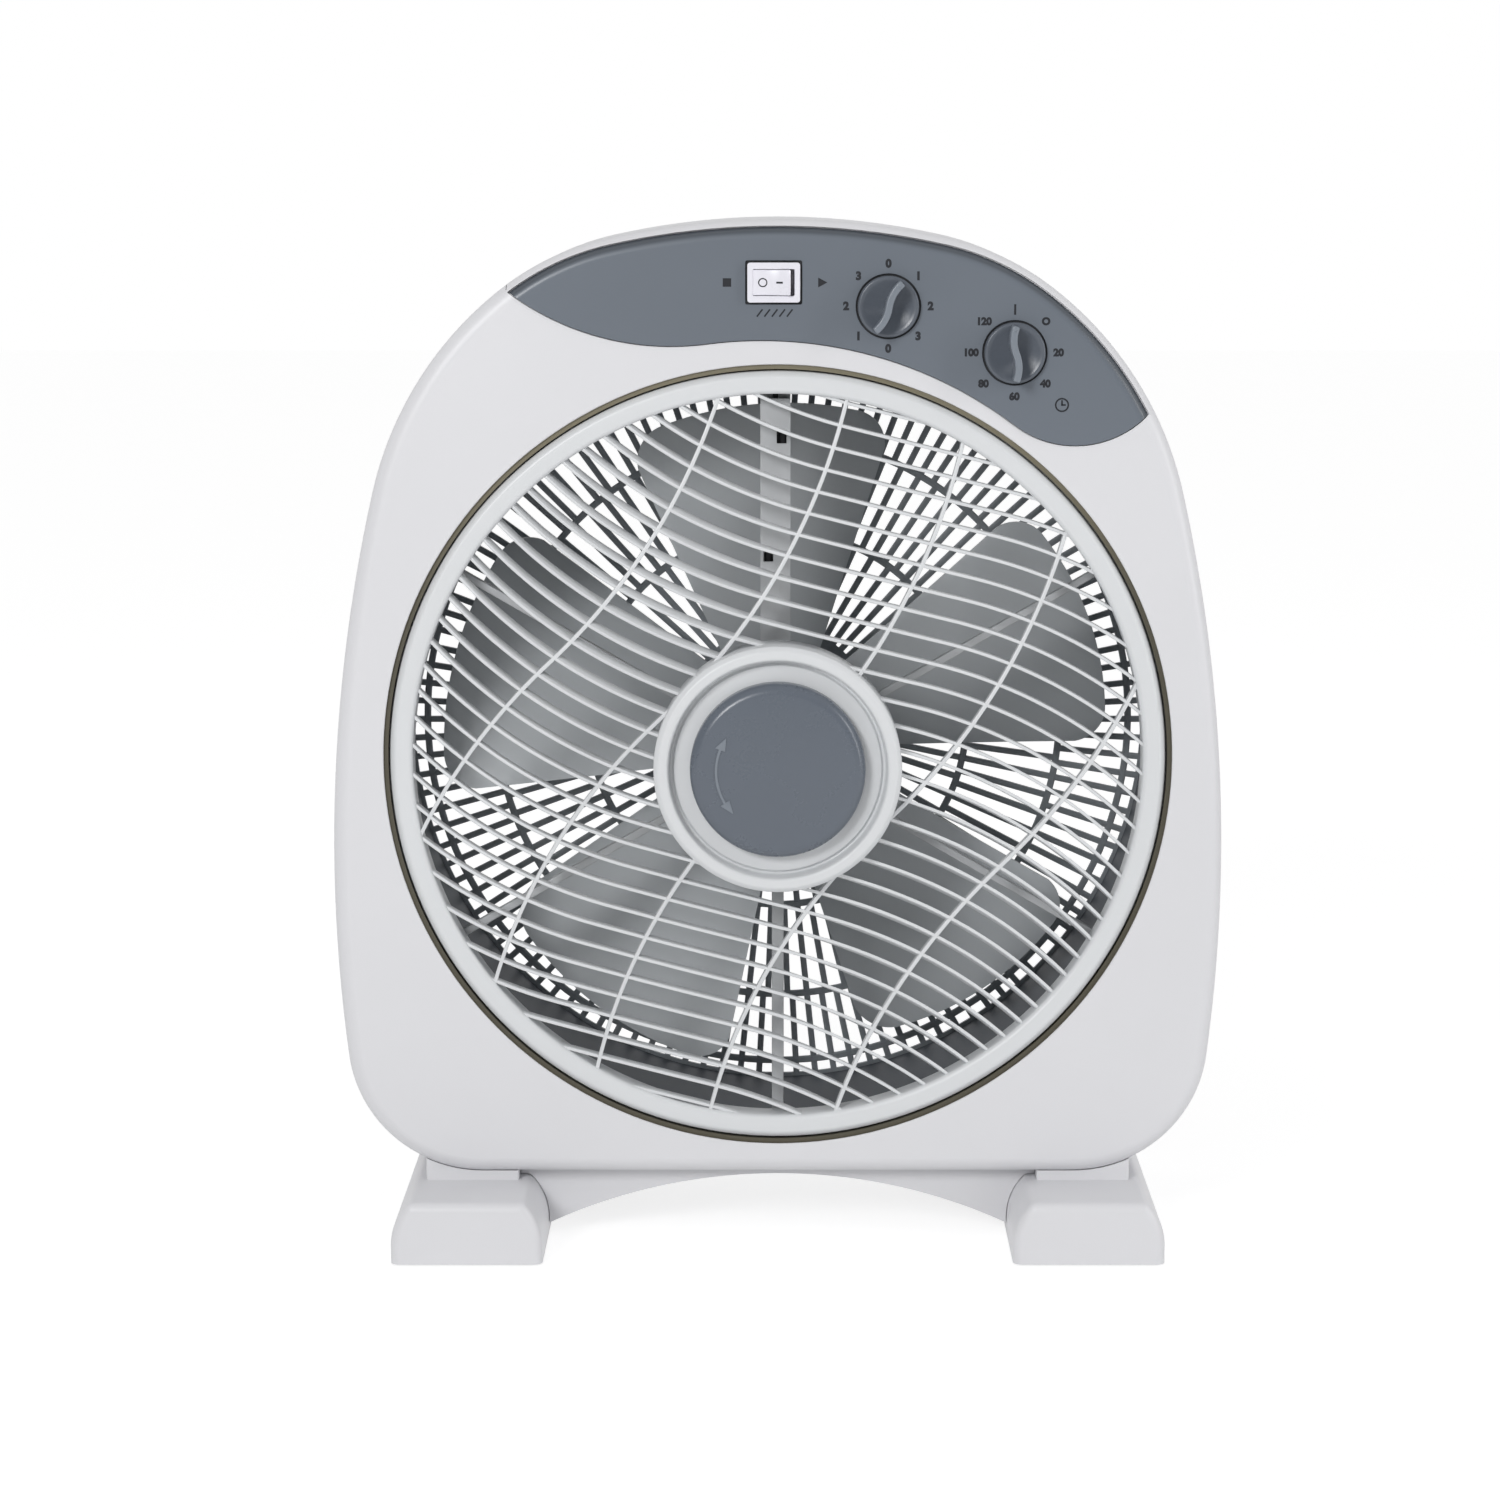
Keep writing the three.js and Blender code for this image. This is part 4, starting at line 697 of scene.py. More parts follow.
guard = {
    "disc": 44,
    "rings": (88, 131, 163),
    "flange": 168.9,
    "edge": 175.9,
    "bars": (60, 90, 120, 120),
    "barWidth": 2.9,
    "ringWidth": 3.1,
    "screwCircle": 172.9,
    "screwBore": 1.8,
}
guardFront = front("rear_guard")
plate, flange, edge = guard["disc"], guard["flange"], guard["edge"]
guardPieces = [turned([
    (0, guardFront), (plate, guardFront), (plate, rearFace - 1.2), (plate - 1.2, rearFace),
    (plate - 6, rearFace), (plate - 7, rearFace - 0.8), (0, rearFace - 0.8),
])]
for radius in guard["rings"]:
    low, high = radius - guard["ringWidth"] / 2, radius + guard["ringWidth"] / 2
    guardPieces.append(turned([
        (low, guardFront + 0.6), (low + 0.6, guardFront), (high - 0.6, guardFront), (high, guardFront + 0.6),
        (high, rearFace - 0.7), (high - 0.7, rearFace), (low + 0.7, rearFace), (low, rearFace - 0.7),
    ], 144))
guardPieces.append(cut(turned([
    (flange, guardFront), (edge, guardFront), (edge, rearFace - 0.6), (edge - 0.6, rearFace),
    (flange + 0.6, rearFace), (flange, rearFace - 0.6),
], 180), *(disc(guard["screwBore"], guardFront - 2, rearFace + 2, 24, around(guard["screwCircle"], angle))
           for angle in (45, 135, 225, 315))))
edges = (plate - 1,) + guard["rings"] + (flange + 1,)
half = guard["barWidth"] / 2
for inner, outer, count in zip(edges, edges[1:], guard["bars"]):
    bar = block((inner, guardFront + 0.1, -half), (outer, rearFace - 0.1, half))
    openEdit(bevelled(bar, lambda e: abs(e.verts[0].co.x - e.verts[1].co.x) > 1, 0.7, 2))
    bpy.ops.mesh.spin(steps=count - 1, dupli=True, angle=2 * pi * (count - 1) / count, center=(0, 0, 0),
                      axis=(0, 1, 0))
    guardPieces.append(closeEdit())
fitted("rear_guard_moulding", joined(*guardPieces), guardFinish, "rear_plastic", "rear_guard")
print("rear guard made")

# Ring, dished hub, slats on a cone, and ribs across them
louver = {
    "ringOuter": 168.5,
    "ringInner": 158.6,
    "ringBack": -48,
    "hubRadius": 53.2,
    "hubRim": 6,
    "hubBore": 6.3,
    "hubFront": -90,
    "hubRecess": 6.4,
    "dishGroove": 1.5,
    "hubPlate": 2.6,
    "hubSkirt": 24,
    "rimLevel": -60,
    "coneRise": 19.5,
    "slats": 33,
    "slatPitch": (4.495, 8.99),
    "slatSlope": -14.2,
    "slatStraight": 39,
    "slatBend": 217,
    "slatThickness": 1.4,
    "slatDepth": 5.8,
    "slatLean": (2.4, 82, 35, 75),  # shift, its middle's place, and its inner and outer reach
    "ribs": 5,
    "ribPitch": (-49, 22),
    "ribSlope": 43,
    "ribBend": 272,
    "ribThickness": 1.7,
    "ribDepth": 5.5,
    "station": 3,
}
ringInner, ringOuter, hubOuter = louver["ringInner"], louver["ringOuter"], louver["hubRadius"]
rimLevel, coneTop = louver["rimLevel"], louver["rimLevel"] - louver["coneRise"]


# Point-symmetric line through the middle: a straight stretch, then a bend, each way
def doubleBend(slope, straight, bend, turn):
    line = startPoint(0, -120, 0)
    angle, station = radians(slope), louver["station"]
    steps = round(straight / station)
    for step in range(steps):
        extrude(straight / steps * cos(angle), 0, straight / steps * sin(angle))
    side = copysign(bend, turn)
    stations = round((1.3 * ringOuter - straight) / station)
    middle = (here().x - side * sin(angle), -120, here().z + side * cos(angle))
    bpy.ops.mesh.spin(steps=stations, angle=copysign(stations * station / bend, turn), center=middle,
                      axis=(0, 1, 0))
    closeEdit()
    return halfTurned(line)


def louverBars(line, count, pitch, depth, lift):
    steps = [step for step in range(-(count // 2), count // 2 + 1) if step]
    bars = joined(line, *[copied(line, (step * pitch[0], 0, step * pitch[1])) for step in steps])
    openEdit(bars)
    pick("VERT", lambda v: not hubOuter - 2.5 < hypot(v.co.x, v.co.z) < ringInner + 5)
    bpy.ops.mesh.delete(type="VERT")
    closeEdit()
    cone = turned([(0, coneTop), (hubOuter, coneTop), (ringInner, rimLevel), (200, rimLevel), (200, 50),
                   (0, 50)], 360)
    modified(bars, "SHRINKWRAP", target=cone, wrap_method="PROJECT", use_project_y=True)
    bpy.data.objects.remove(cone)
    openEdit(bars)
    bpy.ops.transform.translate(value=(0, lift, 0))
    extrude(0, depth, 0)
    return faced()


def onCone(v):
    return rimLevel - louver["coneRise"] * (1 - (hypot(v.co.x, v.co.z) - hubOuter) / (ringInner - hubOuter))


slatLine = doubleBend(louver["slatSlope"], louver["slatStraight"], louver["slatBend"], -1)
slats = louverBars(slatLine, louver["slats"], louver["slatPitch"], louver["slatDepth"], 0)
lean, place, near, reach = louver["slatLean"]
for side in (1, -1):  # the slats lean most at the upper left and the lower right
    openEdit(slats)
    pick("VERT", lambda v: v.co.y < onCone(v) + louver["slatDepth"] - 2.5)
    bpy.ops.mesh.hide()
    pick("VERT", lambda v: not v.hide and
         (v.co.x + side * place) ** 2 + (v.co.z - side * place) ** 2 < near ** 2)
    bpy.ops.transform.translate(value=(0, 0, side * lean), use_proportional_edit=True,
                                proportional_edit_falloff="SMOOTH", proportional_size=reach)
    bpy.ops.mesh.reveal(select=False)
    closeEdit()
ribLine = doubleBend(louver["ribSlope"], 0.01, louver["ribBend"], 1)
ribs = louverBars(ribLine, louver["ribs"], louver["ribPitch"], louver["ribDepth"], -0.15)
for bars, thickness, edge in ((slats, louver["slatThickness"], 0.3), (ribs, louver["ribThickness"], 0.35)):
    rounded(modified(bars, "SOLIDIFY", thickness=thickness, offset=0, use_even_offset=True), edge, 2, 50)
louverRing = turned([
    (ringInner, faceFront + 1.4), (ringInner + 1.4, faceFront), (ringOuter - 2.4, faceFront),
    (ringOuter, faceFront + 2.4), (ringOuter, louver["ringBack"]), (ringInner, louver["ringBack"]),
], 240, rounding=0.8)
hubFront, hubInner, bore = louver["hubFront"], hubOuter - louver["hubRim"], louver["hubBore"]
plateFront = hubFront + louver["hubRecess"]
plateBack, skirtBack = plateFront + louver["hubPlate"], hubFront + louver["hubSkirt"]
groove = plateFront + louver["dishGroove"]
louverHub = turned([
    (bore, plateFront), (hubInner - 2.6, plateFront), (hubInner - 2.2, groove), (hubInner - 1.1, groove),
    (hubInner - 0.7, plateFront), (hubInner - 0.4, hubFront + 2), (hubInner, hubFront + 0.6),
    (hubInner + 0.6, hubFront), (hubOuter - 2, hubFront), (hubOuter, hubFront + 2), (hubOuter, skirtBack),
    (hubOuter - wall, skirtBack), (hubOuter - wall, plateBack), (bore, plateBack),
], 144, rounding=0.7)
fitted("louver_grille_moulding", joined(louverRing, louverHub, slats, ribs), louverFinish, "louver_plastic",
       "louver_grille", body="louver", smooth=30)
print("louver made")

# Cap nut with a plain turning arrow raised on its face, the arrow coloured lighter than the cap as a painted
# highlight
cap = {
    "radius": 37.6,
    "front": -93,
    "shoulder": 4.6,
    "face": 4,
    "bore": 3.35,
    "arrowRadius": 26.3,
    "arrowFrom": 146,
    "arrowTo": 224,
    "arrowWidth": 1.1,
    "arrowHead": 4.6,
    "arrowRaise": 0.4,
}
capFront, capBack, capFace = cap["front"], back("cap_nut"), cap["front"] + cap["face"]
turns = [radians(11.25 * step) for step in range(9)]
capNut = turned([
    (cap["bore"], capBack), (cap["bore"], capFace), (0, capFace), (0, capFront),
    *((cap["radius"] - cap["shoulder"] * (1 - sin(turn)), capFront + cap["shoulder"] * (1 - cos(turn)))
      for turn in turns), (cap["radius"], capBack),
][::-1], 144)


def turnArrow():
    middle, half, head = cap["arrowRadius"], cap["arrowWidth"] / 2, cap["arrowHead"] / 2
    headTurn = degrees(1.3 * cap["arrowHead"] / middle)
    start, end = cap["arrowFrom"] + headTurn, cap["arrowTo"] - headTurn
    x, z = around(middle + half, start)
    startPoint(x, capFront - cap["arrowRaise"], z)
    drawArc(0, 0, end - start)
    for radius, angle in ((middle + head, end), (middle, cap["arrowTo"]), (middle - head, end),
                          (middle - half, end)):
        drawTo(*around(radius, angle))
    drawArc(0, 0, start - end)
    for radius, angle in ((middle - head, start), (middle, cap["arrowFrom"]), (middle + head, start)):
        drawTo(*around(radius, angle))
    return rounded(filled(0, cap["arrowRaise"] + 0.3, 0), 0.12, 2, 50)


capNut = mended(twoTone(capNut, turnArrow(), (capFinish, paintedHighlightFinish)))
fitted("cap_nut_moulding", capNut, None, "cap_plastic", "cap_nut", body="cap", smooth=30)
print("cap nut made")

knob = {
    "radius": 13,
    "base": 4.2,
    "dish": 3,
    "ridgeBend": (15.6, 22),  # radius, lean
    "ridgeWidth": 3,
    "ridgeEdge": 0.55,
    "dimple": (9.8, 0.75, 0.6),  # place on the ridge, radius, depth
    "turn": {"speed": -30, "timer": 0},
    "socket": 3.1,
    "shaft": 2.95,
}


def controlKnob(which, shaftFront):
    body, rear = front(which + "_knob"), back(which + "_knob")
    rim, radius, dish, socket = rear - knob["base"], knob["radius"], knob["dish"], knob["socket"]
    base = turned([
        (0, rim + dish), (5, rim + 0.8 * dish), (8, rim + 0.5 * dish), (10.4, rim + 0.2 * dish),
        (11.5, rim + 0.05), (12.1, rim), (12.6, rim + 0.15), (radius, rim + 0.7), (radius, rear),
        (socket, rear), (socket, shaftFront - 0.1), (0, shaftFront - 0.1),
    ])
    bend, lean = knob["ridgeBend"]
    line = startPoint(0, body, 0)
    drawOn(90 + lean, bend, -2 * lean)
    closeEdit()
    openEdit(halfTurned(line))
    extrude(0, rim + dish + 0.6 - body, 0)
    ridge = modified(faced(), "SOLIDIFY", thickness=knob["ridgeWidth"], offset=0, use_even_offset=True)
    place, size, deep = knob["dimple"]
    cut(rounded(ridge, knob["ridgeEdge"], 3, 50),
        turned([(0, body - 1), (size + 0.4, body - 1), (size, body), (0, body + deep)], 24, (0, place)))
    # The ridge takes the lighter painted-highlight colour
    piece = spun(twoTone(base, ridge, (knobFinish, paintedHighlightFinish)), knob["turn"][which])
    return shifted(piece, controls[which][0], 0, controls[which][1])


for which in knobs:
    shaftFront = back(which + "_knob") - knob["base"] + knob["dish"] + 0.8
    fitted(which + "_knob_moulding", controlKnob(which, shaftFront), None, "panel_plastic", which + "_knob",
           body=which + "_control", smooth=40)
    shaft = disc(knob["shaft"], shaftFront, back(which + "_shaft"), 48, controls[which])
    fitted(which + "_shaft_turning", rounded(shaft, 0.4, 2), steelFinish, "brass", which + "_shaft",
           body=which + "_control")
print("knobs made")

rocker = {
    "bezel": (22.5, 16.9),
    "bezelFront": -64.9,
    "bezelEdge": 0.45,
    "body": (20.4, 15),
    "pocket": (17.7, 11.3),
    "half": 8.2,
    "height": 10.8,
    "crest": 5.2,
    "dip": 1.8,
    "tilt": 10,
    "pivot": -60.9,
    "ring": (-4, 1.7, 0.24),  # printed marks: place, radius and half a line's width
    "bar": (3.2, 2.9, 0.8),  # place, width, height
}
bezelFront, bezelBack, pivot = rocker["bezelFront"], panelFace - 0.3, rocker["pivot"]
x, z = controls["rocker"]
rockerFrame = combined(slab((0, 0), rocker["bezel"], bezelFront, bezelBack, 1.2, 5),
                       slab((0, 0), rocker["body"], bezelBack - 1, back("rocker_frame")))
cut(rockerFrame, slab((0, 0), rocker["pocket"], bezelFront - 3, pivot + 7, 0.5, 3))
shifted(rounded(rockerFrame, rocker["bezelEdge"], 3, 50), x, 0, z)
half, crest = rocker["half"], rocker["crest"]
rockerPaddle = startPoint(-half, -crest, -rocker["height"] / 2)
for px, py in ((-4, 1.1 - crest), (0, rocker["dip"] - crest), (4, 1.1 - crest), (half, -crest),
               (half - 1.2, 0.6), (2, 4), (-2, 4), (1.2 - half, 0.6)):
    extrude(px - here().x, py - here().y, 0)
rounded(filled(0, 0, rocker["height"]), 0.4, 3, 30)
skin = modified(copied(rockerPaddle), "DISPLACE", strength=0.06, mid_level=0)
place, radius, line = rocker["ring"]
ring = pipe(radius - line, radius + line, -crest - 0.5, 2, 48, (place, 0))
place, wide, high = rocker["bar"]
rockerPrint = shared(joined(ring, slab((place, 0), (wide, high), -crest - 0.5, 2)), skin)
for piece in (rockerPaddle, rockerPrint):
    shifted(spun(piece, rocker["tilt"], "Z"), x, pivot, z)
fitted("rocker_marks", rockerPrint, inkFinish, "knob_plastic", body="rocker")
fitted("rocker_frame_moulding", rockerFrame, rockerFinish, "knob_plastic", "rocker_frame", smooth=40)
fitted("rocker_paddle_moulding", rockerPaddle, rockerFinish, "knob_plastic", "rocker_paddle", body="rocker",
       smooth=40)
print("rocker switch made")

dial = {
    "speed": (["0", "1", "2", "3", "0", "1", "2", "3"], 18, 4.7),  # texts, radius, size
    "timer": (["|", "O", "20", "40", "60", "80", "100", "120"], 18.7, 4.3),
    "bold": 0.065,
    "line": 0.7,
    "square": (-21.6, 0, 1.8),  # place from the rocker's height, half a side
    "triangle": (18.8, 0),
    "slats": (-1.3, -12.9),
    "clock": (121.5, 154, 2.7),  # place, radius
}
inkFront, inkBack, inkHalf = panelFace - 0.03, panelFace + 0.02, dial["line"] / 2


def printed(text, size, x, z):
    deselectAll()
    bpy.ops.object.text_add()
    settings = {"body": text, "size": size, "align_x": "CENTER", "align_y": "CENTER",
                "offset": dial["bold"] * size, "extrude": 0.02, "resolution_u": 4}
    for name, value in settings.items():
        setattr(bpy.context.object.data, name, value)
    bpy.ops.object.convert(target="MESH")
    words = bpy.context.object
    words.rotation_euler = (pi / 2, 0, 0)
    words.location = (x, inkFront + 0.02, z)
    bpy.ops.object.transform_apply()
    openEdit(words)
    weld(0.002)
    return faced()


def inkLine(x0, z0, x1, z1):
    line = block((-inkHalf, inkFront, -inkHalf), (hypot(x1 - x0, z1 - z0) + inkHalf, inkBack, inkHalf))
    return shifted(spun(line, degrees(atan2(z1 - z0, x1 - x0))), x0, 0, z0)


level = controls["rocker"][1]
x, z, half = dial["square"]
z += level
square = [(x - half, z - half), (x + half, z - half), (x + half, z + half), (x - half, z + half)]
prints = [prism(square, inkFront, inkBack)]
x, z = dial["triangle"][0], level + dial["triangle"][1]
prints.append(prism([(x - 1.6, z - 2.1), (x + 2.3, z), (x - 1.6, z + 2.1)], inkFront, inkBack))
x, z = dial["slats"][0], level + dial["slats"][1]
prints += [inkLine(x + 3.2 * step - 1, z - 1.3, x + 3.2 * step + 1, z + 1.3) for step in range(-2, 3)]
x, z, radius = dial["clock"]
prints += [pipe(radius - inkHalf, radius + inkHalf, inkFront, inkBack, 48, (x, z)), inkLine(x, z, x, z + 1.7),
           inkLine(x, z, x + 1.3, z)]
for which in knobs:
    texts, radius, size = dial[which]
    for step, text in enumerate(texts):
        across, up = around(radius, 90 - 45 * step)
        prints.append(printed(text, size, controls[which][0] + across, controls[which][1] + up))
fitted("dial_prints", joined(*prints), inkFinish, "panel_plastic")
print("dial numbers made")

bracket = {
    "armFront": -44,
    "armBack": -35,
    "armWidth": 3.3,
    "lowerArmWidth": 5.4,
    "armTaper": 0.62,
    "armAngles": (30, 150, 210, 330),
    "cup": 50,
    "plate": (-62.4, -59.4),
    "cupBack": -38.4,
    "rimFront": -45.7,
    "rimOuter": 173,
    "rimFlange": 2.5,
    "rimBack": -32.7,
    "ductWidth": 13,
    "ductDepth": 6,
    "ductX": -1,
    "ductTop": 156,
    "ductWall": 1.5,
    "slots": [(1.7, 4.3, 139.5), (-4.1, 4.3, 88.3)],
    "slotHeight": 5.8,
    "boltCircle": 39.2,
    "boltBore": 2.1,
    "ears": (30, 1.8),  # place, bore
    "leadMouth": (1.8, -47.8, -44.2, 44, 52),  # half its width, front, back, low, high
    "leads": (1.8, 2.6, 0.4),  # inset, front and back before the cover's back
}
cup, (plateFront, plateBack) = bracket["cup"], bracket["plate"]
armFront, armBack, rimFront = bracket["armFront"], bracket["armBack"], bracket["rimFront"]
rimBore = tunnel - 0.3


def boltBores(front, back):
    return [disc(bracket["boltBore"], front, back, 24, around(bracket["boltCircle"], angle))
            for angle in (45, 225)]


bracketCup = turned([
    (0, plateFront), (cup - 2, plateFront), (cup, plateFront + 2), (cup, bracket["cupBack"]),
    (cup - wall, bracket["cupBack"]), (cup - wall, plateBack), (0, plateBack),
], 120, rounding=0.5)
ear, earBore = bracket["ears"]
ductX, (mouth, mouthFront, mouthBack, mouthLow, mouthHigh) = bracket["ductX"], bracket["leadMouth"]
cut(bracketCup, *boltBores(plateFront - 2, plateBack + 2),
    *[disc(earBore, plateFront - 2, plateBack + 2, 24, (x, 0)) for x in (-ear, ear)],
    block((ductX - mouth, mouthFront, mouthLow), (ductX + mouth, mouthBack, mouthHigh)))
rim, rimMiddle, rimBack = bracket["rimOuter"], rimFront + bracket["rimFlange"], bracket["rimBack"]
bracketPieces = [bracketCup, turned([
    (rimBore - 2, rimFront), (rim, rimFront), (rim, rimMiddle), (rimBore, rimMiddle), (rimBore, rimBack),
    (rimBore - 2, rimBack),
], 180)]
for angle in bracket["armAngles"] + (270,):
    half = (bracket["lowerArmWidth"] if angle == 270 else bracket["armWidth"]) / 2
    arm = block((cup - 1.3, armFront, -half), (rimBore - 1, armBack, half))
    openEdit(arm)
    pick("VERT", lambda v: v.co.y > armBack - 0.1)
    bpy.ops.transform.resize(value=(1, 1, bracket["armTaper"]), center_override=(0, 0, 0))
    closeEdit()
    bracketPieces.append(spun(rounded(arm, 0.5, 3), angle))
left, right = (ductX + side * bracket["ductWidth"] / 2 for side in (-1, 1))
bracketPieces.append(rounded(block((left, armFront, cup - 1.3), (right, armFront + wall, rimBore - 1)), 0.4))
fitted("motor_bracket_moulding", mended(joined(*bracketPieces)), bracketFinish, "bracket_plastic",
       "motor_bracket")
ductBack, ductTop, ductWall = armFront - 0.3, bracket["ductTop"], bracket["ductWall"]
ductFront = ductBack - bracket["ductDepth"]
duct = cut(block((left, ductFront, cup + 0.3), (right, ductBack, ductTop)),
           block((left + ductWall, ductFront + ductWall, cup - 2),
                 (right - ductWall, ductBack + 2, ductTop + 2)))
cut(duct, *[slab((x, z), (wide, bracket["slotHeight"]), ductFront - 2, ductFront + 3)
            for x, wide, z in bracket["slots"]])
fitted("wire_duct_moulding", rounded(duct, 0.4, 3, 50), bracketFinish, "bracket_plastic", "wire_duct_cover")
inset, leadFront, leadBack = bracket["leads"]
leadWidth = (right - left - 2 * inset) / 3
leads = []
for step in range(3):  # three flat leads behind the cover's slots
    start = left + inset + step * leadWidth
    leads.append(block((start, ductBack - leadFront, cup + 1),
                       (start + leadWidth, ductBack - leadBack, ductTop - 1)))
fitted("duct_leads", rounded(joined(*leads), 0.7, 3), sleeveFinish, "lead_sleeve")
print("motor bracket made")

motor = {"radius": 43, "coil": 36, "cover": 1.6, "bearing": 9.3}
for node in ("motor_front_cover", "motor_rear_cover"):
    ends = (front(node), back(node)) if "front" in node else (back(node), front(node))
    outer, side = ends[0], copysign(1, ends[1] - ends[0])
    radius, coil, skin, bore = (motor[key] for key in ("radius", "coil", "cover", "bearing"))
    cover = turned([(r, outer + side * deep) for r, deep in (
        (bore - 2, 0), (radius - 5, 0), (radius - 1.5, 1.5), (radius, 5), (radius, abs(ends[1] - outer)),
        (coil + 1, abs(ends[1] - outer)), (coil + 1, 5.6), (bore + skin, 5.6), (bore + skin, 9.2),
        (bore, 9.2), (bore, skin), (bore - 2, skin),
    )], 120)
    rounded(cut(cover, *boltBores(-70, 0)), 0.5, 2, 40)
    fitted(node + "_pressing", cover, sheetFinish, "motor_steel", node)
print("motor covers made")

impeller = {
    "blades": 5,
    "first": 93,
    "tip": 150,
    "sweep": 48,
    "corner": 16,
    "cornerStart": 14,
    "rootWidth": 34,
    "thickness": 2,
    "camber": 5,
    "rootPitch": 36,
    "tipPitch": 20,
    "hub": 30,
    "hubWall": 3,
    "hubFront": -2.5,
    "hubBack": 27.5,
    "bore": 4.3,
    "setback": 3,
    "steps": (14, 16),  # along a blade, and across it
}
tip, hub, bore = impeller["tip"], impeller["hub"], impeller["bore"]
hubFront, hubBack, hubInner = impeller["hubFront"], impeller["hubBack"], hub - impeller["hubWall"]


def bladeTrim():
    half, corner, root = impeller["sweep"] / 2, impeller["corner"], impeller["rootWidth"] / 2
    inset = degrees(asin(corner / (tip - corner)))
    sweep = inset + 90 - impeller["cornerStart"]
    x, z = around(tip - corner, half - inset)
    across, up = around(corner, impeller["cornerStart"] - half - 90)
    startPoint(hub - 4, -60, root)
    drawTo(hub - 4, -root)
    drawTo(x + across, up - z)
    drawArc(x, -z, sweep)
    drawArc(0, 0, 2 * (half - inset))
    drawArc(x, z, sweep)
    return filled(0, 120, 0)


def fanBlade():
    half, root, camber = tip * sin(radians(impeller["sweep"] / 2)) + 10, hub - 6, impeller["camber"]
    radius = (half ** 2 + camber ** 2) / (2 * camber)
    along, across = impeller["steps"]
    blade = startPoint(root, 0, -half)
    bpy.ops.mesh.spin(steps=across, angle=2 * asin(half / radius), center=(root, radius - camber, 0),
                      axis=(1, 0, 0))
    selectAll()
    pitches = [-impeller["rootPitch"]] + [(impeller["rootPitch"] - impeller["tipPitch"]) / along] * along
    for step, pitch in enumerate(pitches):
        if step:
            extrude((tip + 2 - root) / along, 0, 0)
        bpy.ops.transform.rotate(value=radians(pitch), orient_axis="X", center_override=(0, 0, 0))
    closeEdit()
    modified(blade, "SOLIDIFY", thickness=impeller["thickness"], offset=0)
    rounded(shared(blade, bladeTrim()), 0.6, 3, 50)
    return shifted(blade, 0, (hubFront + hubBack) / 2 + impeller["setback"], 0)


impellerPieces = [turned([
    (bore, hubFront), (bore, hubBack), (hub - 5, hubBack), (hub - 1.5, hubBack - 1.5), (hub, hubBack - 5),
    (hub, hubFront), (hubInner, hubFront), (hubInner, hubBack - 7), (9, hubBack - 7), (9, hubFront),
], rounding=0.5)]
blade = fanBlade()
for step in range(impeller["blades"]):
    impellerPieces.append(copied(blade, turn=impeller["first"] + 360 / impeller["blades"] * step))
bpy.data.objects.remove(blade)
fitted("impeller_moulding", joined(*impellerPieces), bladeFinish, "blade_plastic", "impeller", body="rotor",
       smooth=30)
nut = {"radius": 13, "front": front("blade_nut"), "back": back("blade_nut"), "flutes": 12, "flute": 1.3}
nutRadius, nutFront, nutBack = nut["radius"], nut["front"], nut["back"]
bladeNut = turned([
    (bore, nutFront), (nutRadius, nutFront), (nutRadius, nutFront + 2), (nutRadius - 1.4, nutBack - 1),
    (nutRadius - 2.6, nutBack), (bore, nutBack),
], 72, rounding=0.4)
flute = disc(nut["flute"], nutFront + 1.6, nutBack + 2, 16, (nutRadius + 0.3, 0))
for step in range(nut["flutes"]):
    cut(bladeNut, spun(copied(flute), 360 / nut["flutes"] * step))
bpy.data.objects.remove(flute)
# The panel finish's painted edge shade also darkens all of this nut, which lies behind the panel's face
fitted("blade_nut_moulding", bladeNut, panelFinish, "panel_plastic", "blade_nut", body="rotor")
print("impeller made")

stand = {
    "footX": 135.2,
    "bottom": 66,
    "upright": 7.6,
    "side": (27, 42),  # bend, lean
    "height": 27.8,
    "sole": 0.8,
    "shoulder": 4,
    "reach": 97,
    "edge": 4,
    "stem": (41, 57),
    "stemEdge": 1.2,
    "pad": (11, 1.3),  # radius, thickness
    "padGroove": (2.5, 0.6, 0.35),  # inset, width, depth
    "padSpan": 74,
    "wall": 3,
    "bridgeReach": 47,
    "bridgeWall": 2.8,
    "gap": 0.3,
    "arch": 240,
    "archHeight": 28.1,
    "bridgeLift": 5,
}
sole, standGap, (stemWide, stemDeep) = floorLevel + stand["sole"], stand["gap"], stand["stem"]
padRadius, padThickness = stand["pad"]


def footPrism(grow, reach):  # front view of a foot, grown outward
    half, upright = stand["bottom"] / 2, sole + stand["upright"]
    bend, lean = stand["side"]
    across, up = around(bend - stand["shoulder"], lean)
    x, z = half - bend + across, upright + up
    startPoint(-half - grow, -reach, sole - grow)
    drawTo(half + grow, sole - grow)
    drawTo(half + grow, upright)
    drawArc(half - bend, upright, lean, 0.01)
    drawArc(x, z, 90 - lean, 0.01)
    drawTo(-x, here().z)
    drawArc(-x, z, 90 - lean, 0.01)
    drawArc(bend - half, upright, lean, 0.01)
    return filled(0, 2 * reach, 0)


def foot(side):
    inner = stand["reach"] - stand["edge"] - stand["wall"]
    half = stand["bottom"] / 2 - stand["wall"] - 1
    body = bevelled(footPrism(0, stand["reach"]), lambda e: abs(e.verts[0].co.y - e.verts[1].co.y) < 0.01 and
                    max(v.co.z for v in e.verts) > sole + 0.1, stand["edge"], 6)
    cut(body, footPrism(-stand["wall"], inner), block((-half, -inner, sole - 2), (half, inner, sole + 4)))
    stem = block((-stemWide / 2, -stemDeep, floorLevel + stand["height"] - 2),
                 (stemWide / 2, stemDeep, underside + 6))
    combined(body, rounded(stem, stand["stemEdge"], 3), *[
        post(padRadius + 2, sole, stand["height"] - 3, 0, end * stand["padSpan"], 48) for end in (-1, 1)])
    return cut(shifted(body, side * stand["footX"], 0, 0), casingPrism(-0.12, -120, 120))


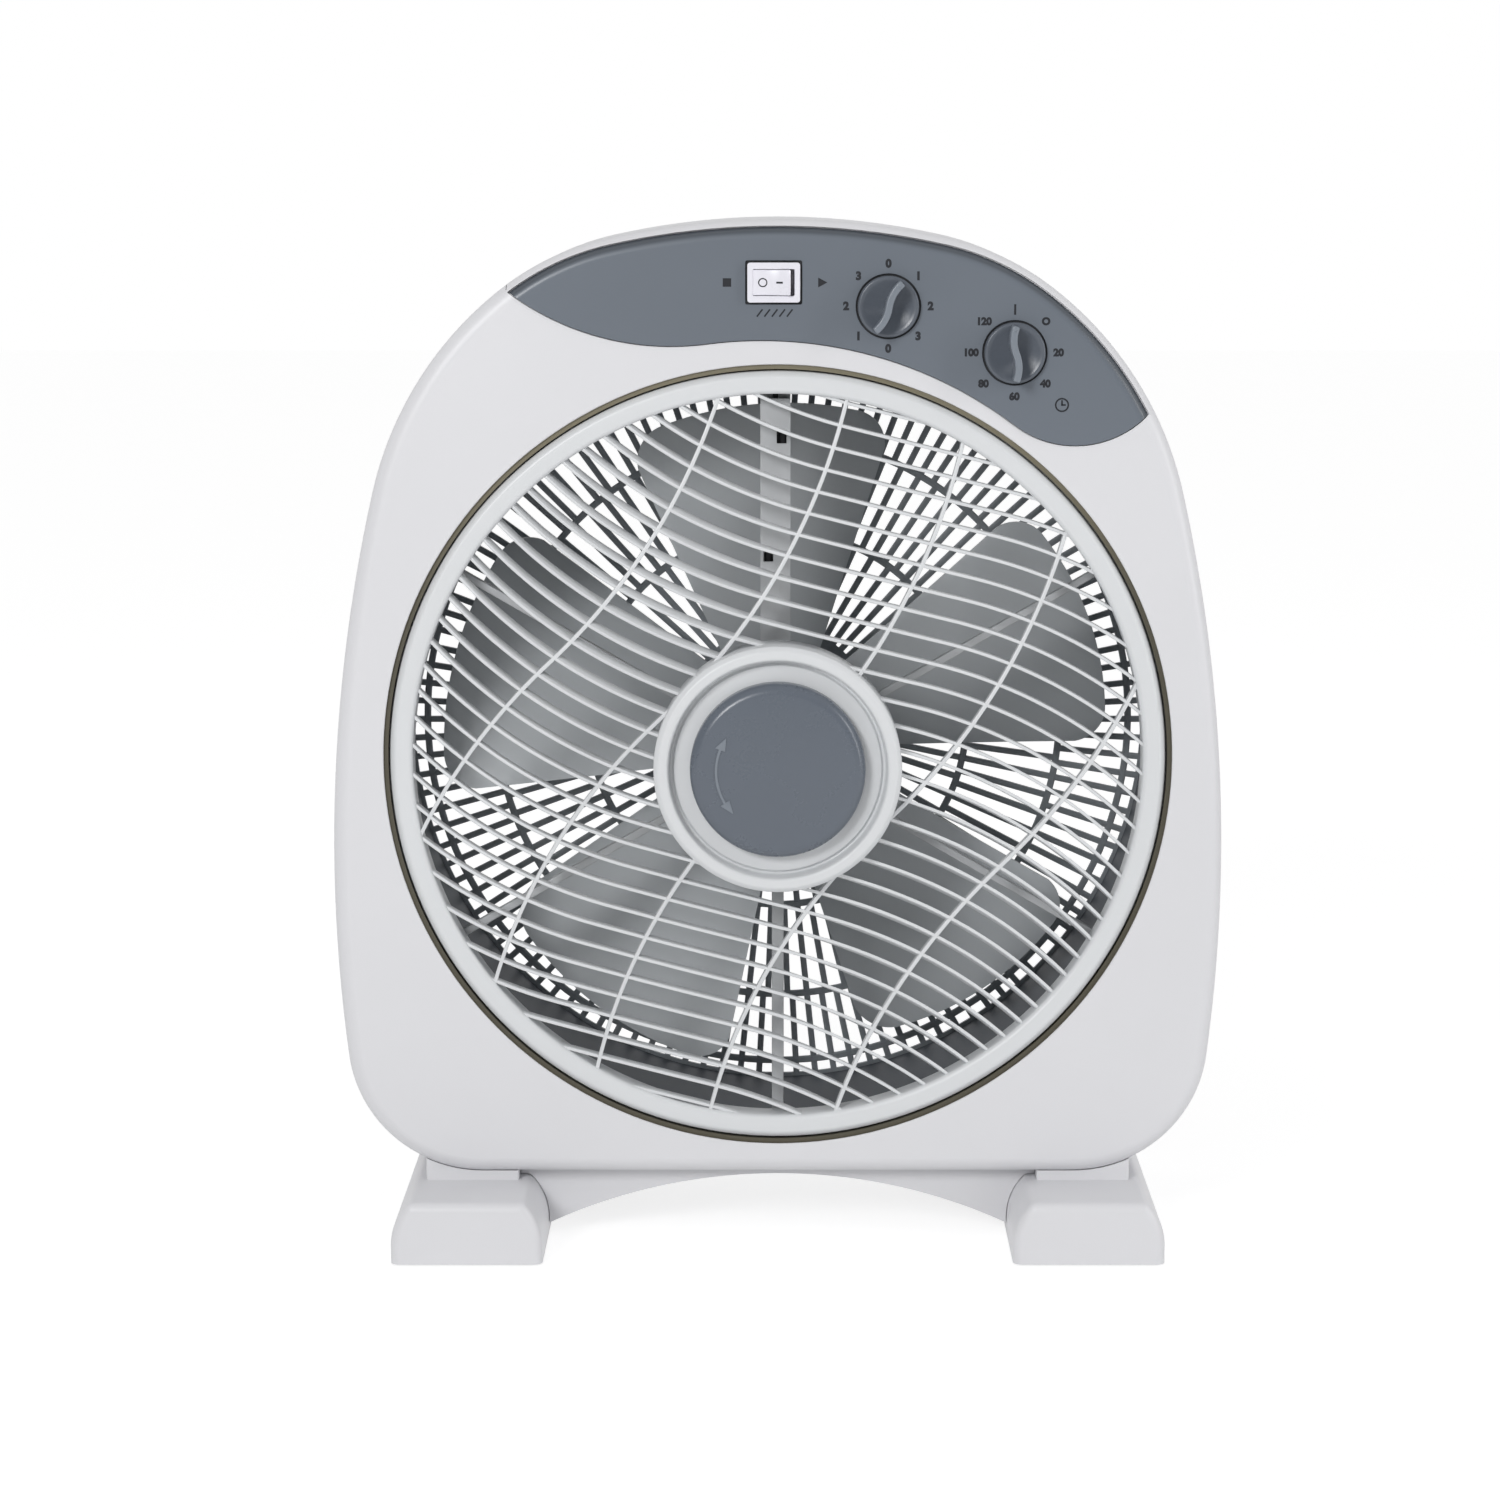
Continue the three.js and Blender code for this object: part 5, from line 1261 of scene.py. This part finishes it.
def bridgePrism(inset, reach):
    half, top = stand["footX"] - stemWide / 2 - standGap - inset, underside - standGap + inset
    radius, middle = stand["arch"] + inset, floorLevel + stand["archHeight"] - stand["arch"]
    drop = asin(half / radius)
    startPoint(half, -reach, top)
    drawTo(-half, top)
    drawTo(-half, middle + radius * cos(drop))
    drawArc(0, middle, -2 * degrees(drop), 0.01)
    return filled(0, 2 * reach, 0)


def clearOfFeet(piece, gap):
    return cut(piece, *[shifted(footPrism(gap, 120), side * stand["footX"], 0, 0) for side in (-1, 1)])


for side, hand in ((-1, "left"), (1, "right")):
    fitted("foot_moulding_" + hand, foot(side), shellFinish, "shell", "foot_" + hand, smooth=30)
bridgeReach, bridgeWall = stand["bridgeReach"], stand["bridgeWall"]
bridge = cut(clearOfFeet(bridgePrism(0, bridgeReach), standGap),
             clearOfFeet(bridgePrism(bridgeWall, bridgeReach - bridgeWall), bridgeWall + standGap),
             block((-140, -100, floorLevel - 250), (140, 100, floorLevel + stand["bridgeLift"])))
fitted("base_bridge_moulding", rounded(bridge, 0.6, 3, 50), shellFinish, "shell", "base_bridge", smooth=30)
for side, hand in ((-1, "left"), (1, "right")):
    for y, end in ((-stand["padSpan"], "front"), (stand["padSpan"], "rear")):
        openEdit(post(padRadius, floorLevel, padThickness, side * stand["footX"], y, 64))
        pick("FACE", lambda f: f.normal.z < -0.9)
        inset, wide, deep = stand["padGroove"]
        bpy.ops.mesh.inset(thickness=inset)
        bpy.ops.mesh.inset(thickness=wide, depth=-deep)
        where = end + "_" + hand
        fitted("pad_rubber_" + where, rounded(closeEdit(), 0.3, 3), padFinish, "pad_rubber", "pad_" + where)
print("stand made")

screw = {"slot": 0.85, "slotDeep": 1.1, "shank": 1.5}


# Cross-headed screw that fills its node's place, its head to the rear
def crossScrew(node):
    low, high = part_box(node)
    head, face, (x, z) = (high.x - low.x) / 2 / mm, back(node), centre(node)
    shank = min(screw["shank"], head / 2)
    body = turned([
        (0, face), (head - 0.9, face), (head - 0.2, face - 0.5), (head, face - 1.2), (head, face - 2),
        (shank, face - 2), (shank, front(node) + 0.6), (0, front(node)),
    ], 40)
    cut(body, *[slab((0, 0), size, face - screw["slotDeep"], face + 1)
                for size in ((head * 1.2, screw["slot"]), (screw["slot"], head * 1.2))])
    return shifted(body, x, 0, z)


for node in [kind + "_screw_%d" % number for kind in ("shell", "guard") for number in (1, 2, 3, 4)]:
    fitted(node + "_turning", crossScrew(node), screwFinish, "screw_steel", node)
inlet = {"bore": 3.3, "radius": 6, "front": front("cord_inlet"), "back": back("cord_inlet")}
bore, radius, inletFront, inletBack = inlet.values()
cordInlet = turned([
    (bore, inletFront), (radius, inletFront), (radius, inletBack - 1.2), (radius - 0.8, inletBack - 0.3),
    (radius - 1.6, inletBack), (bore, inletBack),
], 64, centre("cord_inlet"))
fitted("cord_inlet_moulding", cordInlet, darkFinish, "lead_sleeve", "cord_inlet")
print("screws and inlet made")

kept = [  # finishes of the solids that show as they are
    (brassFinish, ("louver_bush", "front_bearing", "rear_bearing")),
    (steelFinish, ("louver_shaft", "motor_shaft")),
    (sheetFinish, ("louver_motor",)),
    (laminateFinish, ("stator_stack", "motor_rotor")),
    (copperFinish, ("front_winding", "rear_winding")),
    (darkFinish, ("speed_switch", "timer_body", "run_capacitor")),
    (sleeveFinish, ("motor_lead", "supply_lead")),
    (screwFinish, [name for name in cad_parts
                   if name.startswith(("foot_screw", "motor_bolt", "drive_screw"))]),
]
for finish, nodes in kept:
    for node in nodes:
        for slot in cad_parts[node].material_slots:
            slot.material = finish
print("solids finished")

studio = {
    "camera": (0, -1.6916, axisHeight + 0.261),
    "pitch": 9.1,
    "lens": 91.25,
    "shift": (-0.0185, 0.007),
    "floor": (0.4, 0.94),  # base grey as the camera sees it, and as other surfaces do
    "floorGlow": 0.77,
    "room": (0.26, 0.05, 0.34),  # light all round, and what it gains to the right and upwards
    "aim": (0, 0, 0.22),
    "key_light": ((-1.1, -2.3, 1.3), (0.7, 0.7), 32),  # place, size, power
    "side_light": ((1.7, -0.75, 0.75), (0.25, 1.2), 9),
}
black, white = (0, 0, 0, 1), (1, 1, 1, 1)


def rayKinds(finish):  # 1 where the camera, gloss or glass looks
    node = finish.add("ShaderNodeLightPath").socket.node
    return [Flow(finish, node.outputs[name])
            for name in ("Is Camera Ray", "Is Glossy Ray", "Is Transmission Ray")]


floorFinish = Finish("studioFloor")
grain = floorFinish.noise(6, 3)
lens, gloss, glass = rayKinds(floorFinish)
seen = lens + gloss + glass
seenGrey, otherGrey = studio["floor"]
floorFinish.set(
    Base_Color=floorFinish.mixed(otherGrey - (otherGrey - seenGrey) * seen + 0.01 * grain, black, white),
    Roughness=0.9 + 0.05 * grain,
    Specular_IOR_Level=0.1,
    Emission_Color=floorFinish.mixed(studio["floorGlow"] * seen, black, white),
    Emission_Strength=1.0,
)
deselectAll()
bpy.ops.mesh.primitive_plane_add(size=14, location=(0, 0.6, -0.0002))
floorPiece = named(bpy.context.object, "studio_floor")
bpy.ops.object.transform_apply()
floorPiece.data.materials.append(floorFinish.material)

world = bpy.data.worlds.new("studioWorld")
bpy.context.scene.world = world
world.use_nodes = True


class Sky(Finish):
    def __init__(self):
        self.tree = world.node_tree
        self.shader = self.tree.nodes["Background"]
        self.place = self.add("ShaderNodeTexCoord", output="Generated")


sky = Sky()
lens, gloss, glass = rayKinds(sky)
across, deep, upward = [sky.add("ShaderNodeSeparateXYZ", {}, {0: sky.place}, axis) for axis in "XYZ"]
level, sideways, above = studio["room"]
room = level + sideways * across + above * upward
lit = lens + glass + gloss * sky.ramp(deep, -0.2, 0.2)
seen = sky.add("ShaderNodeMath", {"operation": "MINIMUM"}, {0: lit, 1: 1.0})
sky.set(Color=white, Strength=room + (1 - room) * seen)

for name in ("key_light", "side_light"):
    place, size, power = studio[name]
    deselectAll()
    bpy.ops.object.light_add(type="AREA", location=place)
    lamp = named(bpy.context.object, name)
    lamp.data.shape = "RECTANGLE"
    lamp.data.size, lamp.data.size_y = size
    lamp.data.energy = power
    lamp.rotation_euler = (Vector(studio["aim"]) - Vector(place)).to_track_quat("-Z", "Y").to_euler()

deselectAll()
bpy.ops.object.camera_add(location=studio["camera"], rotation=(radians(90 - studio["pitch"]), 0, 0))
camera = named(bpy.context.object, "main_camera")
camera.data.lens, camera.data.sensor_width = studio["lens"], 36
camera.data.shift_x, camera.data.shift_y = studio["shift"]
bpy.context.scene.camera = camera
bpy.context.scene.view_settings.view_transform = "Standard"
print("studio made")
